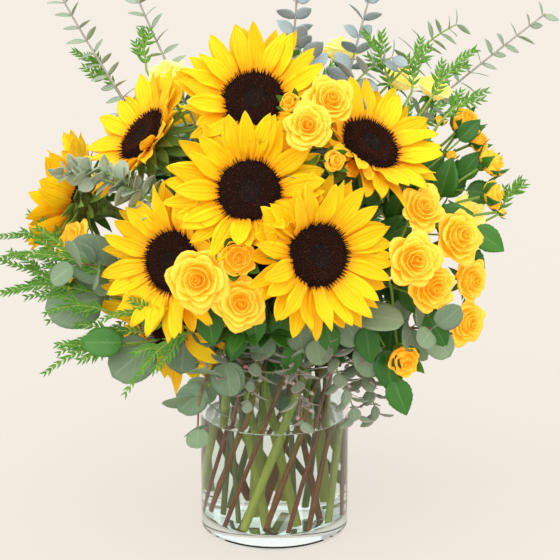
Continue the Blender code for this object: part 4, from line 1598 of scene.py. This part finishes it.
@dataclass
class Sprig:
    """One stem of foliage."""

    node: str
    kind: Foliage
    seed: int

    def __post_init__(self) -> None:
        """Read the stem's route from its CAD solid."""
        solid = CadSolid(self.node)
        ends = [end for end in solid.flat_ends() if end.sides == TWIG_SIDES and end.radius < TWIG_END]
        foot = min(ends, key=lambda end: end.centre.z)
        tip = max((end for end in ends if end is not foot), key=lambda end: -end.radius)
        self.route = StemRoute(solid, foot, tip.centre)
        self.rng = random.Random(self.seed)

    def build_stem(self) -> None:
        """Draw the bare stem to its tip."""
        bm = new_shape()
        points = self.route.points(18)
        radii = [self.route.radius * (1.0 - 0.6 * i / (len(points) - 1)) for i in range(len(points))]
        tube(bm, points, radii, 8)
        finish_piece(bm, self.node + "_twig", self.kind.bark, [self.node])

    def build_leaves(self) -> None:
        """Set the leaves in pairs, with pods or side fronds where the kind has them."""
        bm, small = new_shape(), new_shape()
        kind = self.kind
        line = [self.route.point(kind.start + (0.995 - kind.start) * i / 24) for i in range(25)]
        if kind.fronds:
            leafy_line(bm, kind, line[9:], self.rng)
            for index in range(0, 22, 2):
                self.add_frond(bm, small, line[index], (line[index + 1] - line[index]).normalized(),
                               index)
            finish_piece(small, self.node + "_fronds", kind.bark)
        else:
            leafy_line(bm, kind, line, self.rng)
            if kind.pods:
                for root, ahead in zip(line[::2], line[1::2]):
                    add_pods(small, root, (ahead - root).normalized(), self.rng)
                finish_piece(small, self.node + "_pods", POD)
            else:
                small.free()
        finish_piece(bm, self.node + "_leaves", kind.finish, thickness=LEAF_GAUGE)

    def add_frond(self, bm: bmesh.types.BMesh, axes: bmesh.types.BMesh, root: Vector, way: Vector,
                  index: int) -> None:
        """Add one side frond, with its own short leaflets.

        Args:
            bm: the leaflets' shape.
            axes: the shape of the fronds' axes.
            root: where it leaves the stem.
            way: the way the stem runs.
            index: its place along the stem.
        """
        side = way.cross(Vector((0.0, 1.0, 0.3))).normalized() * (1 if index % 4 else -1)
        growth = (way * 0.9 + side * 0.75 + scatter(self.rng, 0.3)).normalized()
        length = self.kind.fronds * self.rng.uniform(0.7, 1.0) * (1.0 - 0.022 * index)
        line = [root + (growth * t + way * 0.35 * t * t - UP * 0.12 * t * t) * length
                for t in (i / 9 for i in range(10))]
        tube(axes, line, [(0.9 - 0.05 * i) * MM for i in range(10)], 5)
        leafy_line(bm, self.kind, line[1:], self.rng)

    def build(self) -> None:
        """Build the sprig."""
        self.build_stem()
        self.build_leaves()


@dataclass(frozen=True)
class PlacedLeaf:
    """One listed leaf: its middle in millimetres, the way it grows and faces, and its length."""

    middle: tuple[float, float, float]
    growth: tuple[float, float, float]
    face: tuple[float, float, float]
    length: float


@dataclass(frozen=True)
class PlacedRose:
    """One listed rose: its middle and radius in millimetres, and how it faces and opens."""

    middle: tuple[float, float, float]
    facing: tuple[float, float, float]
    radius: float
    opening: Opening = Opening.OPEN
    pale: bool = False


@dataclass(frozen=True)
class Belt:
    """A belt of scattered leaves: how many, and their heights, reaches and droop.

    Heights and reaches are in millimetres. A flare is the height at which a belt is narrowest,
    and how much higher it has its full width.
    """

    wanted: int
    heights: tuple[float, float]
    reaches: tuple[float, float]
    droop: tuple[float, float]
    flare: Optional[tuple[float, float]] = None


@dataclass
class Collar:
    """Greenery that fills the bouquet: leaves under the heads, between them and round the neck."""

    seed: int = 5
    belts: tuple[Belt, ...] = (
        Belt(64, (168, 225), (62, 125), (-0.7, 0.1), flare=(165, 60)),
        Belt(170, (205, 345), (20, 118), (-0.1, 0.9)),
        Belt(34, (112, 160), (10, 40), (-2.5, -0.6)),
    )
    tries: int = 12
    lengths: tuple[float, float] = (24, 38)
    round_share: float = 0.34
    tied_share: float = 0.6
    deep: int = 150
    deep_tries: int = 14
    deep_heights: tuple[float, float] = (195, 335)
    deep_reach: float = 88
    gap: float = 3.5 * MM
    first_seed: int = 9000
    rose_leaf: Blade = Blade(Outline.TOOTHED, 32 * MM, 21 * MM, 0.2, 0.45, 6, 20, 2 * MM)
    round_leaf: Blade = Blade(Outline.ROUND, 36 * MM, 35 * MM, 0.06, 0.35, 8, 10, 3 * MM)
    deep_leaf: Blade = Blade(Outline.OVAL, 34 * MM, 20 * MM, 0.2, 0.45, 4, 7)

    def __post_init__(self) -> None:
        """Gather the surfaces that the greenery stays clear of."""
        self.rng = random.Random(self.seed)
        self.neck = Vector((0.0, 0.0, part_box("vase")[1].z))
        heads = bmesh.new()
        for name in sorted(frame["nodes"]):
            if name.endswith(("_petals", "_disc")) or name.startswith("rose_bloom"):
                heads.from_mesh(frame["nodes"][name].data)
        self.heads = BVHTree.FromBMesh(heads)
        heads.free()
        vase = CylinderVase()
        self.wall = (vase.inner - 3 * MM, vase.radius + 2 * MM, vase.height + 3 * MM)
        self.shapes = {name: new_shape() for name in COLLAR_LAYERS}

    def clear(self, points: Sequence[Vector]) -> bool:
        """Test whether there is room.

        Args:
            points: places that the new piece would take up.

        Returns:
            Whether every one is free of the flower heads and of the vase's wall.
        """
        inner, outer, rim = self.wall
        for point in points:
            if point.z < rim and inner < point.xy.length < outer:
                return False
            if self.heads.find_nearest(point, self.gap)[0] is not None:
                return False
        return True

    def add(self, round_one: bool, middle: Vector, growth: Vector, face: Vector, length: float,
            twig: bool = True) -> None:
        """Add one leaf and its twig.

        Args:
            round_one: a round silver leaf rather than a toothed green one.
            middle: the middle of the leaf.
            growth: the way it grows.
            face: the way its upper side faces.
            length: its length.
            twig: whether a twig ties it to the neck.
        """
        blade = self.round_leaf if round_one else self.rose_leaf
        scale = length / blade.length
        along = growth.normalized()
        root = middle - along * (length / 2 + blade.stalk * scale)
        shape = self.shapes["silver_leaves" if round_one else "rose_leaves"]
        blade.add(shape, root, along, face, self.rng.random() * 0.6, scale)
        if twig:
            start = self.neck + (root - self.neck) * 0.25
            tube(self.shapes["twigs"], stalk_curve(start, root, along, 0.35, 7), [0.8 * MM] * 8, 6)

    def fill(self) -> None:
        """Scatter leaves under and between the heads, wherever there is room."""
        rng = self.rng
        for belt in self.belts:
            near, far = belt.reaches
            placed = 0
            for _ in range(belt.wanted * self.tries):
                angle, height = rng.uniform(0, math.tau), rng.uniform(*belt.heights)
                limit = far
                if belt.flare:
                    narrowest, rise = belt.flare
                    limit = near + (far - near) * (height - narrowest) / rise
                reach = rng.uniform(near, min(far, max(limit, near + 12)))
                out = radial(angle)
                middle = (out * reach + UP * height) * MM
                growth = (out + UP * rng.uniform(*belt.droop) + scatter(rng, 0.4)).normalized()
                face = UP * 0.8 + out * 0.6 + scatter(rng, 0.5)
                length = rng.uniform(*self.lengths) * MM
                tips = [middle + growth * length * share for share in (-0.5, 0.0, 0.5)]
                if self.clear(tips):
                    self.add(rng.random() < self.round_share, middle, growth, face, length,
                             rng.random() < self.tied_share)
                    placed += 1
                if placed >= belt.wanted:
                    break

    def fill_deep(self) -> None:
        """Fill the middle of the bouquet with leaves, so that no daylight shows between the heads, and
        darken them with painted shade.
        """
        rng = self.rng
        placed = 0
        for _ in range(self.deep * self.deep_tries):
            angle, height = rng.uniform(0, math.tau), rng.uniform(*self.deep_heights)
            reach = self.deep_reach * math.sqrt(rng.random())
            out = radial(angle)
            middle = (out * reach + UP * height) * MM
            growth = (out + UP * rng.uniform(-0.3, 1.2) + scatter(rng, 0.6)).normalized()
            face = out + scatter(rng, 0.5)
            half = growth * self.deep_leaf.length / 2
            if self.clear([middle - half, middle, middle + half]):
                # a raised tone paints shade on these deep leaves: they take more of the darker patch colour
                self.deep_leaf.add(self.shapes["shade_darkened_leaves"], middle - half, growth, face,
                                   0.4 + rng.random() * 0.5)
                placed += 1
            if placed >= self.deep:
                break

    def add_frond(self, root: Vector, tip: Vector) -> None:
        """Add one fern frond with side fronds.

        Args:
            root: where its bare stalk ends.
            tip: its tip.
        """
        fern = Greens.FERN.value
        reach = tip - root
        start = self.neck + (root - self.neck) * 0.3
        tube(self.shapes["twigs"], [start, start.lerp(root, 0.5) + UP * 6 * MM, root], [1.0 * MM] * 3, 6)
        bow = UP * self.rng.uniform(0.06, 0.16) * reach.length
        line = [root + reach * t + bow * 4 * t * (1 - t) for t in (i / 9 for i in range(10))]
        tube(self.shapes["twigs"], line, [(1.0 - 0.07 * i) * MM for i in range(10)], 5)
        leafy_line(self.shapes["fern_leaflets"], fern, line[1:], self.rng)
        for index, sign in ((2, 1), (4, -1)):
            way = (line[index + 1] - line[index]).normalized()
            side = way.cross(Vector((0.0, 1.0, 0.2))).normalized() * sign
            length = reach.length * self.rng.uniform(0.3, 0.5) * (1 - 0.06 * index)
            twig = [line[index] + (way * t + side * (0.75 * t - 0.25 * t * t)) * length
                    for t in (i / 6 for i in range(7))]
            tube(self.shapes["twigs"], twig, [0.6 * MM] * 7, 5)
            leafy_line(self.shapes["fern_leaflets"], fern, twig[1:], self.rng)

    def add_bloom(self, bloom: RoseBloom, pale: bool) -> None:
        """Add one rose on its own stalk.

        Args:
            bloom: the rose.
            pale: whether it is a butter-coloured one.
        """
        seat = bloom.centre - bloom.facing * bloom.radius
        start = self.neck + (seat - self.neck) * 0.4
        tube(self.shapes["twigs"], stalk_curve(start, seat, bloom.facing, 0.3, 8), [1.2 * MM] * 9, 8)
        bloom.add_green(self.shapes["rose_leaves"])
        bloom.add_petals(self.shapes["pale_roses" if pale else "golden_roses"])

    def add_sprig(self, kind: Foliage, root: Vector, tip: Vector) -> None:
        """Add one short leafy sprig.

        Args:
            kind: what it bears.
            root: where its leaves begin.
            tip: its tip.
        """
        start = self.neck + (root - self.neck) * 0.3
        way = (tip - root).normalized()
        line = [root.lerp(tip, i / 12) + UP * 5 * MM * math.sin(math.pi * i / 12) for i in range(13)]
        twig = stalk_curve(start, root, way, 0.3, 7)[:-1] + line
        tube(self.shapes["twigs"], twig, [(1.2 - 0.035 * i) * MM for i in range(len(twig))], 6)
        layer = next(name for name, row in COLLAR_LAYERS.items() if row[0] is kind.finish)
        if kind.pods:
            for spot, ahead in zip(line[::3], line[1::3]):
                add_pods(self.shapes["seed_pods"], spot, (ahead - spot).normalized(), self.rng)
        leafy_line(self.shapes[layer], kind, line, self.rng, crowding=0.8)

    def place(self) -> None:
        """Set the leaves that stand out at the front."""
        for leaf in FRONT_ROUND_LEAVES:
            self.add(True, Vector(leaf.middle) * MM, Vector(leaf.growth), Vector(leaf.face),
                     leaf.length * MM)
        for root, tip in FERN_FRONDS:
            self.add_frond(Vector(root) * MM, Vector(tip) * MM)
        for order, rose in enumerate(EXTRA_BLOOMS):
            self.add_bloom(RoseBloom(Vector(rose.middle) * MM, Vector(rose.facing).normalized(),
                                     rose.radius * MM, rose.opening, self.first_seed + order), rose.pale)
        for kind, root, tip in SHORT_SPRIGS:
            self.add_sprig(kind, Vector(root) * MM, Vector(tip) * MM)
        for leaf in FRONT_GREEN_LEAVES:
            self.add(False, Vector(leaf.middle) * MM, Vector(leaf.growth), Vector(leaf.face),
                     leaf.length * MM)

    def build(self) -> None:
        """Build the greenery."""
        self.place()
        self.fill()
        self.fill_deep()
        for name, (finish, slot, gauge, smooth) in COLLAR_LAYERS.items():
            finish_piece(self.shapes[name], "collar_" + name, finish, thickness=gauge, smooth=smooth)


# the collar's pieces: finish, slot, thickness, and the angle up to which they are shaded smooth
COLLAR_LAYERS = {
    "rose_leaves": (ROSE_LEAF, "rose_stem", LEAF_GAUGE, 60),
    "silver_leaves": (SILVER_DOLLAR, "silver_dollar", 0.4 * MM, 60),
    "twigs": (BRANCH_STEM, "rose_stem", 0.0, 60),
    "fern_leaflets": (FERN_LEAF, "fern", LEAF_GAUGE, 60),
    "pale_roses": (PALE_ROSE_PETAL, "rose_petal", PETAL_GAUGE, 70),
    "golden_roses": (ROSE_PETAL, "rose_petal", PETAL_GAUGE, 70),
    "seeded_leaves": (SEEDED_LEAF, "silver_dollar", LEAF_GAUGE, 60),
    "seed_pods": (POD, "silver_dollar", 0.0, 60),
    "cider_gum_leaves": (CIDER_GUM, "baby_eucalyptus", LEAF_GAUGE, 60),
    "shade_darkened_leaves": (ROSE_LEAF, "rose_stem", LEAF_GAUGE, 60),
    "eucalyptus_leaves": (BABY_BLUE, "baby_eucalyptus", LEAF_GAUGE, 60),
    "young_eucalyptus_leaves": (YOUNG_BLUE, "baby_eucalyptus", LEAF_GAUGE, 60),
}
# millimetres from the middle of the vase's underside
EXTRA_BLOOMS = (
    PlacedRose((-89, 20, 389), (-0.2, -0.4, 0.9), 15.0, pale=True),
    PlacedRose((133, 10, 379), (0.4, -0.3, 0.85), 13.5, pale=True),
    PlacedRose((163, 2, 274), (0.5, -0.8, 0.35), 15.0, pale=True),
    PlacedRose((74, -46, 154), (0.8, -0.6, -0.1), 8.0, Opening.HALF),
    PlacedRose((-170, -42, 227), (-0.8, -0.6, 0.0), 9.0, Opening.HALF),
    PlacedRose((187, -20, 279), (0.9, -0.3, 0.1), 4.6, Opening.BUD),
    PlacedRose((145, -10, 325), (0.1, -0.5, 0.9), 4.8, Opening.BUD),
    PlacedRose((89, -62, 316), (0.3, -0.8, 0.6), 4.6, Opening.BUD),
    PlacedRose((136, 0, 352), (0.3, -0.4, 0.9), 5.2, Opening.BUD),
    PlacedRose((160, 6, 352), (0.5, -0.5, 0.7), 11.0, Opening.HALF),
    PlacedRose((172, 16, 332), (0.8, -0.45, 0.35), 10.0, Opening.HALF),
)
# where each frond's stalk ends, and its tip
FERN_FRONDS = (
    ((-128, -25, 238), (-220, -30, 261)),
    ((-137, -40, 225), (-219, -45, 246)),
    ((-141, -45, 215), (-215, -50, 219)),
    ((-132, -60, 205), (-181, -65, 206)),
    ((-119, -70, 180), (-181, -80, 161)),
    ((-65, -100, 201), (-130, -110, 213)),
    ((-61, -98, 199), (-116, -97, 150)),
    ((-130, 25, 372), (-164, 25, 405)),
    ((-106, 25, 390), (-110, 25, 422)),
    ((95, -20, 377), (73, -20, 423)),
    ((110, -25, 377), (116, -25, 418)),
    ((123, -25, 368), (159, -20, 410)),
    ((135, -25, 355), (168, -20, 377)),
    ((-152, 20, 228), (-200, 30, 268)),
    ((189, 10, 272), (205, 10, 300)),
    ((-60, 95, 300), (-110, 140, 360)),
    ((30, 100, 330), (40, 140, 395)),
    ((100, 60, 300), (160, 90, 360)),
    ((70, 90, 240), (120, 135, 235)),
    ((-50, 100, 230), (-90, 138, 215)),
    ((-118, -60, 226), (-205, -70, 254)),
    ((-100, -58, 186), (-172, -60, 172)),
)
# what each sprig bears, where its leaves begin, and its tip
SHORT_SPRIGS = (
    (Greens.CIDER_GUM.value, (-94, -86, 300), (-160, -94, 323)),
    (Greens.CIDER_GUM.value, (-99, -84, 304), (-150, -92, 327)),
    (Greens.BABY_EUCALYPTUS.value, (103, 5, 390), (147, 0, 429)),
    (Greens.BROAD_EUCALYPTUS.value, (57, -30, 376), (93, -30, 405)),
    (Greens.BROAD_EUCALYPTUS.value, (29, -20, 378), (18, -20, 417)),
    (Greens.BROAD_EUCALYPTUS.value, (60, 120, 280), (130, 140, 330)),
    (Greens.BROAD_EUCALYPTUS.value, (-95, 80, 300), (-138, 118, 342)),
    (Greens.SILVER_DOLLAR.value, (10, 105, 210), (60, 130, 178)),
    (Greens.SEEDED_EUCALYPTUS.value, (-9, -80, 187), (-21, -82, 139)),
    (Greens.SEEDED_EUCALYPTUS.value, (35, -80, 189), (66, -76, 124)),
    (Greens.SEEDED_EUCALYPTUS.value, (62, -66, 182), (84, -52, 118)),
    (Greens.SEEDED_EUCALYPTUS.value, (-40, -80, 183), (-46, -82, 158)),
)
FRONT_ROUND_LEAVES = tuple(PlacedLeaf(*row) for row in (
    ((-145, -60, 249), (-0.6, -0.2, 0.4), (0.1, -1, 0.3), 44),
    ((-162, -50, 210), (-1, -0.2, -0.1), (0.3, -1, 0.5), 48),
    ((-114, -70, 168), (-0.7, -0.3, -0.5), (0, -1, 0.4), 42),
    ((-72, -78, 177), (-0.1, -0.4, -1), (0.1, -1, 0.2), 36),
    ((-36, -92, 158), (0.2, -0.2, -1), (0.1, -1, 0.1), 30),
    ((-65, -96, 143), (-0.8, -0.3, -0.6), (-0.1, -1, 0.3), 28),
    ((82, -105, 214), (1, -0.2, 0.05), (0, -0.5, 1), 38),
    ((60, -85, 197), (0.5, -0.3, -0.8), (0, -1, 0.4), 30),
    ((-92, -60, 197), (-0.4, -0.3, -0.8), (0, -1, 0.3), 34),
    ((21, -85, 193), (0.1, -0.3, -1), (0, -1, 0.3), 28),
    ((-9, -88, 185), (-0.3, -0.3, -1), (0, -1, 0.3), 24),
    ((35, -90, 180), (0.3, -0.3, -1), (0.1, -1, 0.3), 22),
    ((76, -80, 171), (0.4, -0.3, -0.9), (0.2, -1, 0.3), 30),
))
FRONT_GREEN_LEAVES = tuple(PlacedLeaf(*row) for row in (
    ((-138, -78, 185), (-0.9, -0.2, 0.1), (0.1, -1, 0.5), 36),
    ((-49, -112, 208), (0.1, -0.3, -1), (-0.1, -1, 0.3), 34),
    ((-14, -112, 206), (0.1, -0.3, -1), (0.1, -1, 0.2), 26),
    ((138, -30, 309), (0.2, -0.2, 1), (-0.3, -1, 0.2), 34),
    ((174, -40, 260), (0.9, -0.2, -0.5), (0, -1, 0.5), 32),
    ((161, -45, 243), (0.7, -0.2, -0.7), (0, -1, 0.5), 30),
    ((128, -80, 197), (0.5, -0.3, -0.8), (-0.1, -1, 0.4), 36),
    ((92, -80, 161), (0.2, -0.3, -1), (0.2, -1, 0.3), 36),
    ((101, -82, 140), (0.4, -0.3, -0.9), (0.1, -1, 0.3), 32),
    ((74, -88, 185), (0.1, -0.3, -1), (-0.2, -1, 0.3), 30),
    ((115, -60, 215), (0.7, -0.2, -0.4), (0, -1, 0.4), 34),
    ((98, -60, 264), (0.5, -0.2, 0.6), (-0.2, -1, 0.4), 30),
    ((80, -70, 302), (0.7, -0.2, 0.5), (0, -1, 0.4), 24),
    ((143, -60, 284), (0.8, -0.2, 0.2), (-0.2, -1, 0.4), 30),
    ((159, -10, 345), (0.6, -0.2, 0.7), (0, -1, 0.4), 24),
    ((5, -90, 198), (0, -0.4, -1), (0, -1, 0.3), 28),
    ((44, -88, 190), (0.3, -0.4, -1), (0, -1, 0.3), 26),
    ((-30, -95, 187), (-0.3, -0.4, -1), (0, -1, 0.2), 26),
    ((107, -40, 211), (0.2, -0.2, -0.9), (0.2, -1, 0.3), 36),
    ((94, -55, 181), (-0.1, -0.2, -1), (-0.1, -1, 0.3), 36),
    ((97, -20, 264), (0.6, -0.2, 0.7), (0.2, -1, 0.3), 34),
    ((102, -16, 284), (0.3, -0.2, 0.9), (-0.2, -1, 0.2), 34),
    ((88, -24, 250), (0.7, -0.2, -0.5), (0, -1, 0.4), 34),
    ((124, -6, 236), (0.6, -0.2, -0.7), (0, -1, 0.3), 34),
    ((162, 5, 314), (0.5, -0.2, 0.8), (-0.2, -1, 0.3), 28),
    ((175, 8, 290), (0.9, -0.2, -0.1), (0.1, -1, 0.4), 30),
    ((130, 10, 322), (-0.3, -0.2, 0.9), (0.3, -1, 0.2), 32),
    ((146, 8, 262), (0.3, -0.2, -0.7), (0, -1, 0.4), 32),
    ((122, 5, 292), (0.7, -0.2, 0.3), (-0.3, -1, 0.3), 34),
    ((150, 12, 300), (0.2, -0.2, 0.7), (0.3, -1, 0.3), 34),
    ((48, -74, 176), (0.5, -0.3, -0.9), (0.2, -1, 0.3), 28),
    ((66, -56, 172), (0.7, -0.3, -0.7), (0.4, -1, 0.4), 28),
    ((14, -84, 172), (-0.2, -0.3, -1), (0, -1, 0.3), 26),
    ((-48, -78, 178), (-0.5, -0.3, -0.9), (-0.2, -1, 0.3), 28),
))


# ---------------------------------------------------------------- studio and assembly

@dataclass
class Studio:
    """Camera, paper floor and soft lamps."""

    eye: tuple[float, float, float] = (0.00484, -1.2, 0.503)
    pitch: float = 13.4
    lens: float = 94.36
    floor_size: float = 60.0
    sky: str = "#FDFDFF"
    sky_strength: float = 0.66
    wall: str = "#F6EFE5"

    def build(self) -> None:
        """Set up the whole studio."""
        scene = bpy.context.scene
        scene.view_settings.view_transform = "Standard"
        view = bpy.data.cameras.new("camera")
        view.lens, view.sensor_width = self.lens, 36.0
        view.clip_end = 100.0
        camera = bpy.data.objects.new("camera", view)
        camera.location = self.eye
        camera.rotation_euler = (math.radians(90 - self.pitch), 0.0, 0.0)
        scene.collection.objects.link(camera)
        scene.camera = camera
        bm = new_shape()
        half = self.floor_size / 2
        sheet(bm, 1, 1, lambda u, v: Vector((u * half, (2 * v - 1) * half, 0.0)))
        mesh = bpy.data.meshes.new("paper_floor")
        bm.to_mesh(mesh)
        bm.free()
        mesh.materials.append(PAPER.material())
        floor = bpy.data.objects.new("paper_floor", mesh)
        scene.collection.objects.link(floor)
        # wide lamps far off: a soft key from the front left, a fill, and one behind to light leaves through
        self.add_lamp("key", (-0.6, -1.0, 1.2), 80, 0.85)
        self.add_lamp("fill", (1.0, -0.9, 0.8), 90, 0.35)
        self.add_lamp("back", (0.3, 1.0, 1.2), 90, 0.3)
        world = bpy.data.worlds.new("studio_sky")
        world.use_nodes = True
        world.node_tree.nodes.clear()
        node = partial(add_node, world.node_tree)
        sky = node("Background",
                   {"Color": hex_colour(self.sky), "Strength": self.sky_strength}).outputs[0]
        wall = node("Background", {"Color": hex_colour(self.wall)}).outputs[0]
        seen = node("LightPath").outputs["Is Camera Ray"]
        both = node("MixShader", links={0: seen, 1: sky, 2: wall}).outputs[0]
        node("OutputWorld", links={"Surface": both})
        scene.world = world

    def add_lamp(self, name: str, place: tuple[float, float, float], spread: float,
                 strength: float) -> None:
        """Add one far, soft lamp, so that the whole floor is lit alike.

        Args:
            name: the lamp's name.
            place: the direction that it shines from.
            spread: how wide it looks, in degrees.
            strength: its strength.
        """
        lamp = bpy.data.lights.new(name, "SUN")
        lamp.angle, lamp.energy = math.radians(spread), strength * math.pi
        hung = bpy.data.objects.new(name, lamp)
        hung.location = place
        hung.rotation_euler = (-Vector(place)).to_track_quat("-Z", "Y").to_euler()
        bpy.context.scene.collection.objects.link(hung)


def main() -> None:
    """Build every sub-assembly in order."""
    logging.basicConfig(level=logging.INFO, format="%(name)s: %(message)s")
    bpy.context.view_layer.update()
    Studio().build()
    vase = CylinderVase()
    vase.build_glass()
    vase.build_water()
    nodes = frame["nodes"]
    for number in range(1, 1 + sum(name.endswith("_disc") for name in nodes)):
        Sunflower(number).build()
    for name in sorted(name for name in nodes if name.startswith("rose_bloom_")):
        LOOSE_BLOOMS[name] = CadSolid(name).flat_ends()[0]
    for number in range(1, 1 + sum(name.startswith("rose_spray_") for name in nodes)):
        RoseSpray(number, list(LOOSE_BLOOMS.values()), pale=number == PALE_SPRAY).build()
    for seed, name in enumerate(sorted(nodes)):
        kind = Greens.__members__.get(name.rsplit("_", 1)[0].upper())
        if kind:
            kind = Greens.BROAD_EUCALYPTUS if name in BROAD_SPRIGS else kind
            Sprig(name, kind.value, seed).build()
    Collar().build()


if __name__ == "__main__":
    for leftover in list(bpy.data.objects):
        bpy.data.objects.remove(leftover)
    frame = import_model()
    main()
